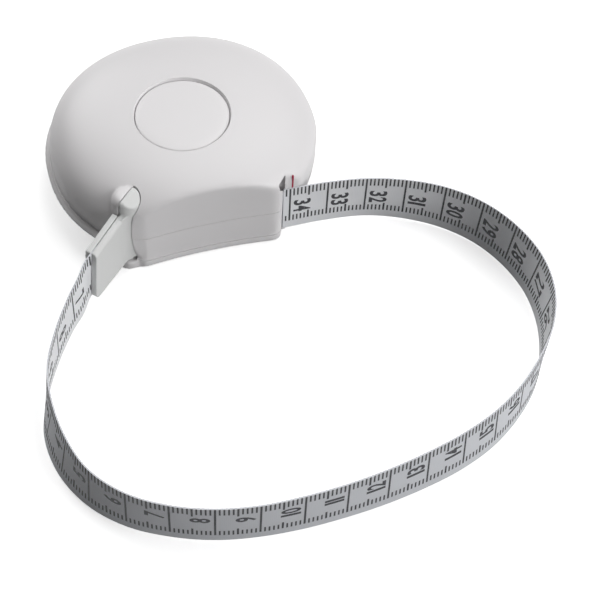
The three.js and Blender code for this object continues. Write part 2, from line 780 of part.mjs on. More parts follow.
// Where the rod that holds the tape's inner end lies in the core
function anchorRod(radius, low, high) {
  const reach = coreRadius - SEAT_GAP - ANCHOR_RADIUS;
  const x = reach * Math.cos(ANCHOR_TURN);
  const y = reach * Math.sin(ANCHOR_TURN);
  return cylinder(radius, low, high, SMALL_STEPS, x, y);
}

function reelDrum() {
  const top = lidBottom - SEAT_GAP;
  const hub = bossRadius + CLEARANCE;
  const step = coverBottom - SEAT_GAP;
  const body = turned(
    [
      [hub, reelBottom],
      [FLANGE_RADIUS, reelBottom],
      [FLANGE_RADIUS, flangeTop],
      [coreRadius, flangeTop],
      [coreRadius, top],
      [coreInside + CORE_STEP, top],
      [coreInside + CORE_STEP, step],
      [coreInside, step],
      [coreInside, flangeTop],
      [hub, flangeTop],
    ],
    LARGE_STEPS,
  );
  return cut(body, anchorRod(ANCHOR_RADIUS + 2 * SEAT_GAP, flangeTop, top + OVERRUN));
}

function tapeAnchor() {
  return anchorRod(ANCHOR_RADIUS, flangeTop + SEAT_GAP, lidBottom - 2 * SEAT_GAP);
}

function reelLid() {
  const collar = coverRadius;
  const low = lidBottom - LID_COLLAR_HEIGHT;
  return turned(
    [
      [LID_OPENING_RADIUS, lidBottom],
      [collar - LID_COLLAR_WALL, lidBottom],
      [collar - LID_COLLAR_WALL, low],
      [collar, low],
      [collar, lidBottom],
      [FLANGE_RADIUS, lidBottom],
      [FLANGE_RADIUS, lidTop],
      [LID_OPENING_RADIUS, lidTop],
    ],
    LARGE_STEPS,
  );
}

function springCover() {
  return ring(SPINDLE_RADIUS + CLEARANCE, coverRadius, coverBottom, coverTop, LARGE_STEPS);
}

function woundTape() {
  return ring(coreRadius + SEAT_GAP, COIL_RADIUS, coilBottom, coilTop, LARGE_STEPS);
}

function tapeRun() {
  const [start, end] = tapeRunLine();
  const drop = coilBottom - OUTLET_BOTTOM;
  const points = TAPE_RUN_SHARES.map((share) => {
    const place = start.clone().lerp(end, share);
    return [place.x, place.y, coilBottom - drop * share];
  });
  return strip(points, TAPE_WIDTH, TAPE_THICKNESS);
}

function freeTape() {
  const curve = new THREE.CatmullRomCurve3(
    FREE_TAPE_ROUTE.map(([x, y, z]) => new THREE.Vector3(x, y, z)),
    false,
    "centripetal",
  );
  const points = curve.getSpacedPoints(FREE_TAPE_STEPS).map((p) => [p.x, p.y, p.z]);
  return strip(points, TAPE_WIDTH, TAPE_THICKNESS);
}

// Raises an outline of the tab's side view from one distance in front of its middle plane to another
function tabPlate(shape, back, front) {
  const geometry = new THREE.ExtrudeGeometry(shape, {
    depth: front - back,
    bevelEnabled: false,
    curveSegments: SMALL_STEPS / 4,
  });
  const [x, y] = tabPoint(0, front);
  const along = new THREE.Vector3(Math.cos(TAB_TURN), Math.sin(TAB_TURN), 0);
  const up = new THREE.Vector3(0, 0, 1);
  const place = new THREE.Matrix4().makeBasis(along, up, along.clone().cross(up));
  return solid(geometry.applyMatrix4(place.setPosition(x, y, 0)));
}

// Side view of a tab shell: its top falls toward its end, and its toe reaches past its top corner
function tabSide(start) {
  const end = TAB_LENGTH + TAB_TOE;
  const corner = TAB_BOTTOM + TAB_CORNER;
  const shape = new THREE.Shape();
  shape.moveTo(start, tabTop(start));
  shape.lineTo(start, TAB_BOTTOM);
  shape.lineTo(end - TAB_CORNER, TAB_BOTTOM);
  shape.quadraticCurveTo(end, TAB_BOTTOM, toeAt(corner), corner);
  shape.lineTo(TAB_LENGTH, TAB_END_TOP);
  return shape;
}

function tabTop(along) {
  return THREE.MathUtils.mapLinear(along, PEG_RADIUS, TAB_LENGTH, TAB_TOP, TAB_END_TOP);
}

// How far along the tab its end stands at a height
function toeAt(height) {
  const foot = TAB_LENGTH + TAB_TOE;
  return THREE.MathUtils.mapLinear(height, TAB_BOTTOM, TAB_END_TOP, foot, TAB_LENGTH);
}

// A short round bar across the tab at one of the pins' places
function tabPin(share, radius, reach) {
  const middle = tapeEndBottom + TAPE_WIDTH / 2;
  const shape = new THREE.Shape();
  shape.absarc(TAB_LENGTH * share, middle, radius, 0, 2 * Math.PI, false);
  return tabPlate(shape, -reach, reach);
}

function tabPinHoles() {
  return PIN_ALONG_SHARES.map((share) =>
    tabPin(share, PIN_RADIUS + SEAT_GAP, tabHalf - PIN_SKIN + SEAT_GAP),
  );
}

function tabFrontShell() {
  const plate = tabPlate(tabSide(0), CLEARANCE, tabHalf);
  const post = crownedPost(PEG_RADIUS, PEG_BOTTOM, KNOB_TOP);
  const peg = post.intersect(prism(besideSeam(1, CLEARANCE / 2), 0, CASE_HEIGHT));
  return cut(plate.add(cut(peg, aboveKnob())), ...tabPinHoles());
}

function tabRearShell() {
  const start = PEG_RADIUS + SEAT_GAP + CLEARANCE;
  return cut(tabPlate(tabSide(start), -tabHalf, -CLEARANCE), ...tabPinHoles());
}

function tapeEnd() {
  const start = PEG_RADIUS + SEAT_GAP + CLEARANCE;
  const shape = outline([
    [start, tapeEndBottom],
    [TAB_LENGTH, tapeEndBottom],
    [TAB_LENGTH, tapeEndBottom + TAPE_WIDTH],
    [start, tapeEndBottom + TAPE_WIDTH],
  ]);
  return cut(tabPlate(shape, -TAPE_THICKNESS / 2, TAPE_THICKNESS / 2), ...tabPinHoles());
}

const tape_measure = new THREE.Group();

tape_measure.add(
  part("lower_case", lowerCase(), WHITE_ABS),
  part("upper_case", upperCase(), WHITE_ABS),
  part("index_mark", indexMark(), RED_PAINT),
  part("release_button", releaseButton(), WHITE_ABS),
  part("brake_ring", brakeRing(), GREY_ABS),
  part("brake_pad", brakePad(), BLACK_RUBBER),
  part("button_spring", buttonSpring(), SPRING_STEEL),
  part("spindle", spindle(), STEEL),
  part("reel_drum", reelDrum(), REEL_ACETAL),
  part("reel_lid", reelLid(), REEL_ACETAL),
  part("spring_cover", springCover(), REEL_ACETAL),
  part("mainspring", mainspring(), SPRING_STEEL),
  part("tape_anchor", tapeAnchor(), STEEL),
  part("wound_tape", woundTape(), TAPE_CLOTH),
  part("tape_run", tapeRun(), TAPE_CLOTH),
  part("free_tape", freeTape(), TAPE_CLOTH),
);
screwPlaces().forEach((place, i) => {
  tape_measure.add(part(`case_screw_${i + 1}`, caseScrew(place), STEEL));
});

// The tab with the tape's end in it lifts straight up out of the socket as one
const tab = new THREE.Group();
tab.add(
  part("tab_front_shell", tabFrontShell(), GREY_ABS),
  part("tab_rear_shell", tabRearShell(), GREY_ABS),
  part("tape_end", tapeEnd(), TAPE_CLOTH),
);
PIN_ALONG_SHARES.forEach((share, i) => {
  tab.add(part(`tab_pin_${i + 1}`, tabPin(share, PIN_RADIUS, tabHalf - PIN_SKIN), STEEL));
});
tape_measure.add(tab);

export default tape_measure;
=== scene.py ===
"""A cloth tape measure in a round moulded case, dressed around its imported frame."""
import math

import bmesh
import bpy
import numpy as np
from bpy.props import FloatProperty, FloatVectorProperty, IntProperty, PointerProperty
from mathutils import Matrix, Quaternion, Vector


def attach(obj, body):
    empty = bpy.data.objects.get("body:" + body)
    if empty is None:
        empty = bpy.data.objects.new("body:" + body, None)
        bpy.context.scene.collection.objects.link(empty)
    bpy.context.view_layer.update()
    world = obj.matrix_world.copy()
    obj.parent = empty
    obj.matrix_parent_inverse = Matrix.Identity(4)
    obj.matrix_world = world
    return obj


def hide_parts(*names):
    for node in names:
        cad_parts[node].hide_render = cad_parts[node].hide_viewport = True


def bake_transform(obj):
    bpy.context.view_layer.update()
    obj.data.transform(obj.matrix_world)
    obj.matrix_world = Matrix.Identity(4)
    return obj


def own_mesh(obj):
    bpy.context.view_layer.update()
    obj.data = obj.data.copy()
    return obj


bl_info = {
    "name": "Cloth tape measure",
    "version": (1, 0, 0),
    "blender": (4, 5, 0),
    "location": "View3D > Sidebar > Tape",
    "description": "Builds a retractable cloth tape measure piece by piece",
    "category": "Object",
}

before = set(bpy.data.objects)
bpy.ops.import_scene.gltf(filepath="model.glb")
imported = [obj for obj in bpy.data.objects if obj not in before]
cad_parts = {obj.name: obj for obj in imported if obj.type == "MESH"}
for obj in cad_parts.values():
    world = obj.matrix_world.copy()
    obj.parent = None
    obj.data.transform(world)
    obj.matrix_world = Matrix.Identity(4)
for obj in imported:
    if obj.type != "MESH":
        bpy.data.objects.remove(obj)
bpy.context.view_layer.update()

# Pieces are modelled in millimetres and brought down to metres when finished
MM = 0.001

# Ovals of the case in plan, as centre, half width and half depth, and the circle that trims their
# right side
FOOT_OVAL = (2.7, 3.7, 30.3, 30.0)
RIM_OVAL = (-0.6, 3.0, 33.8, 34.3)
DOME_OVAL = (1.05, 2.8, 34.1, 32.8)
RIGHT_TRIM = (-2.73, 5.86, 38.1)
OVAL_POWER = 2.12
OVAL_STEPS = 192
DOME_POWER = 2.7
DOME_STEPS = 34

# Heights and walls of the case
BASE_THICKNESS = 1.2
CASE_WALL = 1.6
FRONT_WALL = 1.0
PARTING_HEIGHT = 11.3
PARTING_GAP = 0.12
RIM_UNDER = 9.3
RIM_LOW = 9.9
RIM_HIGH = 10.6
RIM_LIP = 0.9
WALL_TOP = 12.9
CASE_HEIGHT = 27.7

# Flat front of the case and the step beside it
FRONT_Y = -22.95
FRONT_HOLLOW = 0.9
FRONT_LEFT_X = -15.5
FRONT_RIGHT_X = 20.0
FRONT_CORNER = 2.9
FRONT_FOOT_CORNER = 2.8
HOOK_TIP = (-19.2, -22.8)
PLINTH = 0.3
PLINTH_HEIGHT = 2.7
PLINTH_BEVEL = 0.9
GROOVE_DEPTH = 0.3
GROOVE_LOW = 0.05
GROOVE_HIGH = 0.3
STEP_Y = -20.8

# Plan of the lower shell's block under the flat front
FRONT_BLOCK = (
    (FRONT_LEFT_X, 0), (-19.9, -19), (-19.9, -30), (FRONT_RIGHT_X, -30), (FRONT_RIGHT_X, 0))

# Well outside the case: to every side, below, above, and above the tools that reach above
FAR = 90.0
BELOW = -9.0
ABOVE = 60.0
ABOVE_TOOLS = 70.0

# Moulded edges: the voxel of the tab's skin, and how often each skin is smoothed
TAB_VOXEL = 0.2
DOME_ROUNDS = 22
EDGE_ROUNDS = 3
TAB_ROUNDS = 2

# Shells are modelled past the parting line and cut there: how far below it the upper one starts, how
# much lower its room starts, and the lower one's height
PAST_PARTING = 4.0
ROOM_LOWER = 2.0
LOWER_PAST_PARTING = 14.0

# Socket of the tab's peg, the knob that the peg makes with the case's ear, and the foot under it
SOCKET = (-18.8, -19.4)
PEG_RADIUS = 3.4
EAR_RADIUS = 3.5
SOCKET_RADIUS = 3.55
SOCKET_WALL = 1.05
KNOB_TOP = 24.6
KNOB_ROUNDING = 1.3
EAR_ROUNDING = 2.3
KNOB_FALL = 0.19
PEG_VIEW = 6
PEG_BOTTOM = 4.0
LEDGE_RADIUS = 4.0
LEDGE_TOP = 2.7
SEAM_HALF = 0.1

# How far the case's hook reaches round the peg at its top, its fullest and its foot
HOOK_TOP_REACH = 0.9
HOOK_REACH = 2.6
HOOK_FOOT_REACH = 1.5
HOOK_FULLEST = 12.5
HOOK_HEIGHTS = (BELOW, *range(4, 26), ABOVE)
HOOK_CLEARANCE = 0.3

# Tab: its shells lie close to the tape between them
TAB_TURN = math.radians(225)
TAB_COS = math.cos(TAB_TURN)
TAB_SIN = math.sin(TAB_TURN)
TAB_HALF = 1.6
TAB_GAP = 0.1
TAB_LENGTH = 15.8
TAB_TOE = 2.0
TAB_TOP = 20.6
TAB_END_TOP = 19.3
TAB_BOTTOM = 3.5
TAB_CORNER = 2.6
TAPE_END_START = 3.8
FRONT_PLATE_ROUNDING = 1.1
REAR_PLATE_ROUNDING = 0.3
FILLET_RADIUS = 3.2
FILLET_START = 1.5
FILLET_INSET = 0.2

# Room for the tape's end in the tab: half its width, its far end, and its margins before, under
# and over the tape
POCKET_HALF = 0.26
POCKET_END = 20.0
POCKET_MARGINS = (0.3, 0.1, 0.15)

# Button: its crown as shares of its radius with heights, its edge, flange, roof and stem
BUTTON_CROWN = ((0, 27.3), (0.5, 27.27), (0.8, 27.16))
BUTTON_EDGE = 0.45
BUTTON_EDGE_HEIGHT = 26.6
BUTTON_WALL = 1.0
BUTTON_ROOF = 25.4
BUTTON_FLANGE = (1.2, 20.4, 21.2)
STEM = (4.8, 6.0, 16.4)

# Button's hole: how much wider it is than its gap, with heights, and the sleeve round it
HOLE_FLARE = ((0, 0), (0, 26.6), (0.12, 27.1), (0.45, 27.6), (1, 28.2), (1, ABOVE))
SLEEVE_WALL = 1.5
SLEEVE_BOTTOM = 21.5

# Button's coil spring, with how much closer its end turns lie
SPRING_RADIUS = 4.2
SPRING_WIRE = 0.3
SPRING_LOW = 16.8
SPRING_HIGH = 25.0
SPRING_CLOSE = 0.9

# Reading mark, and the groove that it lies in: left, right, front, back, bottom and top
MARK = (22.5, 22.9, -20.85, -20.35, 16.4, 20.6)
MARK_GROOVE = (22.48, 22.92, -21.3, -20.3, 16.35, 20.65)

# Round bars and holes of the case: radius, bottom and top
UPPER_BOSS = (3.0, 0, ABOVE)
LOWER_BOSS = (3.0, 0, PARTING_HEIGHT - 0.3)
PILOT_HOLE = (1.4, 0, 17.2)
SHANK_HOLE = (1.4, -5, 30)
HEAD_HOLE = (2.4, -5, 2.1)
HUB = (4.6, 0, 3.7)
PIN_HOLE = (3.1, BASE_THICKNESS, 30)

# Screws' places in plan
SCREW_CIRCLE = 25.0
SCREW_PLACES = [
    (SCREW_CIRCLE * math.cos(turn), SCREW_CIRCLE * math.sin(turn))
    for turn in map(math.radians, (45, 155, 325))]

# Screw as radius and height: its head, one turn of its thread, and its tip. Then the thread's
# heights, and the cross recess
SCREW_HEAD = ((0, 0.4), (1.7, 0.4), (2.0, 0.6), (2.1, 0.95), (2.1, 1.8), (1.1, 1.8))
SCREW_THREAD = ((0.85, 0), (1.15, 0.3), (0.85, 0.6))
SCREW_TIP = ((0.8, 14.6), (0.35, 15.4), (0, 15.4))
THREAD_START = 2.2
THREAD_PITCH = 0.8
THREAD_END = 14.2
RECESS_REACH = 1.25
RECESS_HALF = 0.22
RECESS_TOP = 1.2

# Tape: its thickness outside and inside, its lower edge at the outlet and where the straight run
# starts, the coil on the reel, the channel out of the case, and the notch over it
TAPE_THICKNESS = 0.35
HIDDEN_THICKNESS = 0.3
OUTLET = (20.0, -21.6, 2.1)
RUN_START = (-0.72, -20.89, 2.4)
COIL_BOTTOM = 2.4
COIL_RADIUS = 20.45
CORE_RADIUS = 15.45
COIL_TURNS = 14
COIL_MARGIN = 0.2
CHANNEL_PAST = 3.0
CHANNEL_HALF = 0.75
CHANNEL_TOP = 18.5
MOUTH = ((20.7, 15.9), (19.6, 15.9), (19.3, 17.2), (19.1, 18.3), (20.5, 21.5), (20.7, 21.4))
MOUTH_LEAN = (0.33, -1.25)
MOUTH_DEPTHS = (-26, -19.6)

# Free tape from the tab to the outlet: x, y, the height of its lower edge, and how far its upper
# edge leans to the left
TAPE_ROUTE = (
    (-30.18, -30.78, 4.65, 0.00),
    (-31.57, -32.09, 4.3, -0.10),
    (-34.17, -36.13, 3.5, -0.25),
    (-37.30, -39.51, 2.8, 0.23),
    (-42.50, -47.06, 1.65, 0.67),
    (-46.81, -55.65, 0.85, 1.27),
    (-49.51, -65.46, 0.4, 2.95),
    (-48.24, -76.00, 0.3, 2.80),
    (-43.63, -85.43, 0.3, 1.50),
    (-36.45, -92.72, 0.3, 0.56),
    (-27.71, -97.73, 0.3, -0.02),
    (-18.30, -101.20, 0.3, -0.08),
    (-8.49, -103.06, 0.3, -0.05),
    (1.50, -103.77, 0.3, 0.32),
    (11.49, -103.60, 0.3, 0.55),
    (21.38, -102.80, 0.3, 0.91),
    (31.27, -101.25, 0.3, 1.25),
    (40.97, -98.90, 0.3, 1.48),
    (50.22, -95.14, 0.3, 1.47),
    (58.54, -89.67, 0.3, 1.20),
    (65.61, -82.78, 0.3, 0.76),
    (70.47, -74.31, 0.3, -0.89),
    (73.42, -65.01, 0.3, -1.90),
    (73.90, -55.39, 0.3, -2.14),
    (71.63, -45.95, 0.3, -1.94),
    (67.02, -37.37, 0.35, -1.57),
    (60.25, -30.41, 0.4, -1.10),
    (51.77, -25.23, 0.5, -0.52),
    (42.21, -22.00, 0.8, -0.07),
    (32.12, -21.14, 1.2, -0.28),
    (20.30, -21.60, 2.1, -0.45),
)
TAPE_STATIONS = 300

# Scale of each face: its side of the tape, the way its numbers turn, its first number and the first
# with a line, how far its digits' middle is under the upper edge, and where it starts
SCALE_FACES = (
    (1, -1, 6, 7, 6.9, 0.8),
    (-1, 1, -1, 0, 5.2, 2.3),
)

# Ticks from the upper edge and from the margin, each a millimetre's and half a centimetre's
UPPER_TICKS = (2.6, 3.4)
LOWER_TICKS = (2.0, 2.8)

# Numbers: how far before their line they end, and shares of a digit's width
NUMBER_BEFORE_LINE = 1.0
DIGIT_SPACE = 0.16
ONE_WIDTH = 0.42
DIGIT_BOLDNESS = 0.026
DIGIT_PARTS = 6
INK_RISE = 0.015
INK_THICKNESS = 0.016

# Camera: where it stands, what it looks at, its roll, and its focal length for the frame's width
EYE = (-0.0551, -0.2459, 0.301)
AIM = (0.0187, -0.0432, 0.0)
ROLL = math.radians(4.2)
FOCAL_PIXELS = 1490.4
FRAME_PIXELS = 600
SENSOR = 36.0

# Lamps: name, place, what they point at, side and power
LAMPS = (
    ("overhead_softbox", (0.24, 0.16, 0.75), (0.0, -0.03, 0.0), 0.7, 3.6),
    ("back_softbox", (-0.3, 0.75, 0.45), (0.0, -0.04, 0.01), 0.5, 3.9),
    ("right_softbox", (0.62, -0.55, 0.42), (0.0, -0.04, 0.01), 0.5, 4.3),
    ("front_softbox", (0.3, -0.85, 0.33), (0.0, -0.04, 0.01), 0.5, 1.5),
)
SURROUND_LEVEL = 0.02

# Real sizes of the materials' patterns
CLOUD_WIDTH = 14.0
STREAK_WIDTH = 0.5
THREAD_SPACING = 0.42
SPECK_WIDTH = 0.3

# Floor: it glows a little to the camera, and is duller to the light that it sends back
FLOOR_SIDE = 8.0
FLOOR_DROP = 0.0001
FLOOR_GLOW = 0.55
FLOOR_BOUNCE = "#525252"


# Colours

def linear(text):
    """An sRGB hex colour as linear red, green, blue and alpha."""
    def channel(value):
        return value / 12.92 if value <= 0.04045 else ((value + 0.055) / 1.055) ** 2.4
    parts = [int(text[i:i + 2], 16) / 255 for i in (1, 3, 5)]
    return (*(channel(part) for part in parts), 1.0)


def colour_property(name, text, description):
    return FloatVectorProperty(
        name=name, description=description, subtype="COLOR", size=4, min=0, max=1, default=linear(text))


def length_property(name, millimetres, description):
    return FloatProperty(
        name=name, description=description, unit="LENGTH", min=0, precision=5, default=millimetres * MM)


class TapeMeasureSizes(bpy.types.PropertyGroup):
    """Sizes of the shown pieces that may be changed without moving a joint."""
    button_radius: length_property("Button radius", 11.7, "Radius of the push button")
    button_groove: length_property("Button groove", 0.15, "Gap between the button and the case")
    soft_edge: length_property("Mould softness", 0.42, "Voxel of the case, for how soft its edges are")
    tape_width: length_property("Tape width", 14.5, "Height of the tape on its edge")
    digit_height: length_property("Digit height", 4.6, "Height of the numbers along the tape")
    digit_width: length_property("Digit width", 2.05, "Width of one digit across the tape")
    tick_width: length_property("Tick width", 0.4, "Width of a millimetre tick")
    line_width: length_property("Line width", 0.48, "Width of a centimetre line")
    blank_margin: length_property("Blank margin", 2.5, "Unprinted margin along the lower edge")
    button_turns: IntProperty(
        name="Spring turns", description="Turns of the button's coil spring", default=5, min=2)


class TapeMeasureColours(bpy.types.PropertyGroup):
    """Colours of the shown finishes."""
    case: colour_property("Case", "#e6e4e5", "White ABS of the case")
    button: colour_property("Button", "#e9e7e8", "White ABS of the button")
    tab: colour_property("Tab", "#d9dad9", "Pale grey ABS of the tab")
    tape: colour_property("Tape", "#dadce1", "Coated cloth of the tape, outer face")
    # The inner face is the same cloth as the outer, painted lighter: painted light for the far side of
    # the loop, which shows the inner face
    tape_inside: colour_property("Tape inside", "#f3f4f7", "Coated cloth of the tape, inner face")
    ink: colour_property("Ink", "#1f2026", "Ink of the scale")
    mark: colour_property("Mark", "#a30f3b", "Red paint of the reading mark")
    floor: colour_property("Floor", "#fbfbfb", "Pale floor")


def size(name):
    """One of the sizes, in millimetres."""
    return getattr(bpy.context.scene.tape_measure_sizes, name) / MM


def chosen(name):
    """One of the colours."""
    return tuple(getattr(bpy.context.scene.tape_measure_colours, name))


# Modelling by hand, in code

def only(obj):
    """Selects one object and nothing else."""
    bpy.ops.object.select_all(action="DESELECT")
    obj.select_set(True)
    bpy.context.view_layer.objects.active = obj


def open_edit(obj, everything=False):
    """Enters edit mode on one object, with all or none of it selected."""
    only(obj)
    bpy.ops.object.mode_set(mode="EDIT")
    bpy.ops.mesh.select_mode(type="FACE")
    bpy.ops.mesh.select_all(action="SELECT" if everything else "DESELECT")


def close_edit():
    bpy.ops.object.mode_set(mode="OBJECT")


def pick_edges(obj, test):
    """In edit mode, selects the edges whose two ends both pass a test of their place."""
    bpy.ops.mesh.select_mode(type="EDGE")
    cage = bmesh.from_edit_mesh(obj.data)
    for edge in cage.edges:
        edge.select_set(all(test(vertex.co) for vertex in edge.verts))
    bmesh.update_edit_mesh(obj.data)


def modify(obj, kind, **settings):
    """Adds one modifier and applies it."""
    only(obj)
    modifier = obj.modifiers.new(kind.title(), kind)
    for key, value in settings.items():
        setattr(modifier, key, value)
    bpy.ops.object.modifier_apply(modifier=modifier.name)


def combine(body, how, *tools):
    """Joins, cuts or intersects a body with tools, which are used up."""
    for tool in tools:
        modify(body, "BOOLEAN", operation=how, object=tool, solver="MANIFOLD")
        bpy.data.objects.remove(tool)
    return body


def seal_edit():
    """Turns every face outwards and leaves edit mode."""
    bpy.ops.mesh.select_all(action="SELECT")
    bpy.ops.mesh.normals_make_consistent(inside=False)
    close_edit()


def new_circle(name, count, fill="NGON"):
    """A circle of points, to be moved into another outline."""
    bpy.ops.mesh.primitive_circle_add(vertices=count, radius=1, fill_type=fill)
    bpy.context.object.name = name
    return bpy.context.object


def raise_outline(name, points, low, high):
    """A flat outline in plan, extruded upwards."""
    obj = new_circle(name, len(points))
    for vertex, (x, y) in zip(obj.data.vertices, points):
        vertex.co = (x, y, low)
    open_edit(obj, everything=True)
    bpy.ops.mesh.extrude_region_move(TRANSFORM_OT_translate={"value": (0, 0, high - low)})
    seal_edit()
    return obj


def rectangle(left, right, near, far):
    return ((left, near), (right, near), (right, far), (left, far))


def block(name, left, right, near, far, low, high):
    return raise_outline(name, rectangle(left, right, near, far), low, high)


def slab(low, high):
    """All that lies between two heights."""
    return block("slab", -FAR, FAR, -FAR, FAR, low, high)


def raise_ovals(name, ovals, wall=0.0, steps=OVAL_STEPS):
    """A disc extruded, moved and resized from one oval to the next. Each oval is centre x, y, half
    width, half depth and height."""
    obj = new_circle(name, steps)
    ovals = [(x, y, wide - wall, deep - wall, height) for x, y, wide, deep, height in ovals]
    x, y, wide, deep, height = ovals[0]
    for vertex in obj.data.vertices:
        across, along, _ = vertex.co
        across = math.copysign(abs(across) ** (2 / OVAL_POWER), across)
        along = math.copysign(abs(along) ** (2 / OVAL_POWER), along)
        vertex.co = (x + wide * across, y + deep * along, height)
    open_edit(obj, everything=True)
    for (x, y, wide, deep, height), (to_x, to_y, to_wide, to_deep, to_height) in zip(ovals, ovals[1:]):
        move = (to_x - x, to_y - y, to_height - height)
        bpy.ops.mesh.extrude_region_move(TRANSFORM_OT_translate={"value": move})
        bpy.ops.transform.resize(
            value=(to_wide / wide, to_deep / deep, 1), center_override=(to_x, to_y, to_height))
    seal_edit()
    return obj


def turn_profile(name, profile, steps, place=(0.0, 0.0)):
    """A closed profile of radius and height, spun about an upright axis."""
    obj = new_circle(name, len(profile), "NOTHING")
    for vertex, (radius, height) in zip(obj.data.vertices, profile):
        vertex.co = (place[0] + radius, place[1], height)
    open_edit(obj, everything=True)
    bpy.ops.mesh.select_mode(type="VERT")
    bpy.ops.mesh.select_all(action="SELECT")
    bpy.ops.mesh.spin(steps=steps, angle=2 * math.pi, center=(*place, 0), axis=(0, 0, 1))
    bpy.ops.mesh.select_all(action="SELECT")
    bpy.ops.mesh.remove_doubles(threshold=1e-4)
    seal_edit()
    return obj


def post(name, radius, low, high, place=(0.0, 0.0), steps=64):
    """A round bar, used to cut or to build with."""
    return turn_profile(name, rectangle(0, radius, low, high), steps, place)


def wire_coil(name, wire, points):
    """A round wire along a path, with closed ends."""
    bpy.ops.curve.primitive_nurbs_path_add()
    obj = bpy.context.object
    obj.name = name
    path = obj.data.splines[0]
    path.type = "POLY"
    path.points.add(len(points) - len(path.points))
    for point, place in zip(path.points, points):
        point.co = (*place, 1)
    obj.data.bevel_depth = wire
    obj.data.bevel_resolution = 3
    obj.data.use_fill_caps = True
    only(obj)
    bpy.ops.object.convert(target="MESH")
    return bpy.context.object


def soften(obj, voxel, rounds):
    """Rounds every edge as a mould does: an even skin of small faces, then smoothed."""
    modify(obj, "REMESH", mode="VOXEL", voxel_size=voxel, adaptivity=0)
    modify(obj, "SMOOTH", factor=0.5, iterations=rounds)
    return obj


def finish(obj, name, material, body, *nodes, slot=None, angle=40):
    """Names a finished piece, brings it down to metres, shades it and puts it on its body."""
    obj.name = name
    obj.data.name = name
    only(obj)
    obj.scale = (MM, MM, MM)
    bpy.ops.object.transform_apply(location=True, rotation=True, scale=True)
    bpy.ops.object.shade_smooth_by_angle(angle=math.radians(angle))
    dress(obj, material)
    if nodes:
        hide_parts(*nodes)
    if body:
        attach(obj, body)
    return obj


# Plan of the case

def tab_point(along, front):
    """A plan point so far along the tab from the socket, and so far in front of its middle."""
    return (
        SOCKET[0] + along * TAB_COS - front * TAB_SIN,
        SOCKET[1] + along * TAB_SIN + front * TAB_COS)


def curve_points(start, control, end, count):
    """Points on a quadratic curve, without its first."""
    points = []
    for i in range(1, count + 1):
        t = i / count
        points.append(tuple(
            (1 - t) ** 2 * a + 2 * t * (1 - t) * b + t * t * c
            for a, b, c in zip(start, control, end)))
    return points


def behind_front(front_wall, side_wall):
    """Outline of all behind the case's front, with the front and side set back by walls."""
    right = FRONT_RIGHT_X - side_wall
    end_y = FRONT_Y - FRONT_HOLLOW + front_wall
    middle = (FRONT_LEFT_X + right - FRONT_CORNER) / 2
    corner = (right - FRONT_CORNER, end_y)
    tip_x, tip_y = HOOK_TIP
    points = [(FAR, FAR), (-FAR, FAR), (-FAR, tip_y + front_wall), (tip_x, tip_y + front_wall)]
    points += [(FRONT_LEFT_X, end_y)]
    points += curve_points(points[-1], (middle, end_y + 2 * FRONT_HOLLOW), corner, 24)
    points += curve_points(corner, (right, end_y), (right, end_y + FRONT_CORNER), 10)
    points += [(right, STEP_Y + side_wall), (FAR, STEP_Y + side_wall)]
    return points


def place_side_view(obj):
    """Stands a side view of the tab, drawn flat along and up, in its place."""
    obj.data.transform(Matrix((
        (TAB_COS, 0, TAB_SIN, SOCKET[0]), (TAB_SIN, 0, -TAB_COS, SOCKET[1]), (0, 1, 0, 0), (0, 0, 0, 1))))
    return obj


def across_tab(name, side_view, back, front):
    """A side view of the tab, raised between two distances in front of its middle."""
    return place_side_view(raise_outline(name, side_view, -front, -back))


def along_tab(name, end_view, reach):
    """An end view to the front and up, raised so far both ways along the tab."""
    obj = raise_outline(name, end_view, -reach, reach)
    obj.data.transform(Matrix((
        (-TAB_SIN, 0, TAB_COS, SOCKET[0]), (TAB_COS, 0, TAB_SIN, SOCKET[1]), (0, 1, 0, 0), (0, 0, 0, 1))))
    return obj


def hook_reach(height):
    """How far the hook reaches along the tab at a height."""
    low = height < HOOK_FULLEST
    lost = HOOK_REACH - (HOOK_FOOT_REACH if low else HOOK_TOP_REACH)
    share = (height - HOOK_FULLEST) / ((PEG_BOTTOM if low else KNOB_TOP) - HOOK_FULLEST)
    return HOOK_REACH - lost * min(share, 1) ** 2


def tab_corner(wall):
    """The open corner where the tab hangs in front of the case's left flank, up to the hook."""
    side = [(FAR, BELOW)]
    side += [(hook_reach(height) - wall, height) for height in HOOK_HEIGHTS]
    side += [(FAR, ABOVE)]
    return across_tab("corner", side, -(TAB_HALF + HOOK_CLEARANCE + wall), FAR)


def beside_seam(side, near):
    """Everything in front of a line along the tab, or behind it."""
    places = ((-FAR, near), (-FAR, side * FAR), (FAR, side * FAR), (FAR, near))
    return raise_outline("seam", [tab_point(*place) for place in places], BELOW, ABOVE_TOOLS)


def crowned_post(name, radius, low, rounding):
    """A post with a rounded top, round the socket's axis."""
    profile = [(0, low), (radius, low)]
    for i in range(9):
        turn = math.radians(90 * i / 8)
        across = radius - rounding * (1 - math.cos(turn))
        profile.append((across, KNOB_TOP - rounding * (1 - math.sin(turn))))
    profile.append((0, KNOB_TOP))
    return turn_profile(name, profile, 72, SOCKET)


def screw_posts(name, sizes, steps=24):
    """A round bar at each screw's place."""
    return [post(name, *sizes, place, steps) for place in SCREW_PLACES]


def tape_channel(low, high):
    """The slot that the tape's straight run leaves through."""
    start = Vector(RUN_START[:2])
    end = Vector(OUTLET[:2])
    way = (end - start).normalized()
    side = Vector((-way.y, way.x)) * CHANNEL_HALF
    past = end + way * CHANNEL_PAST
    corners = (start + side, start - side, past - side, past + side)
    return raise_outline("channel", [tuple(corner) for corner in corners], low, high)


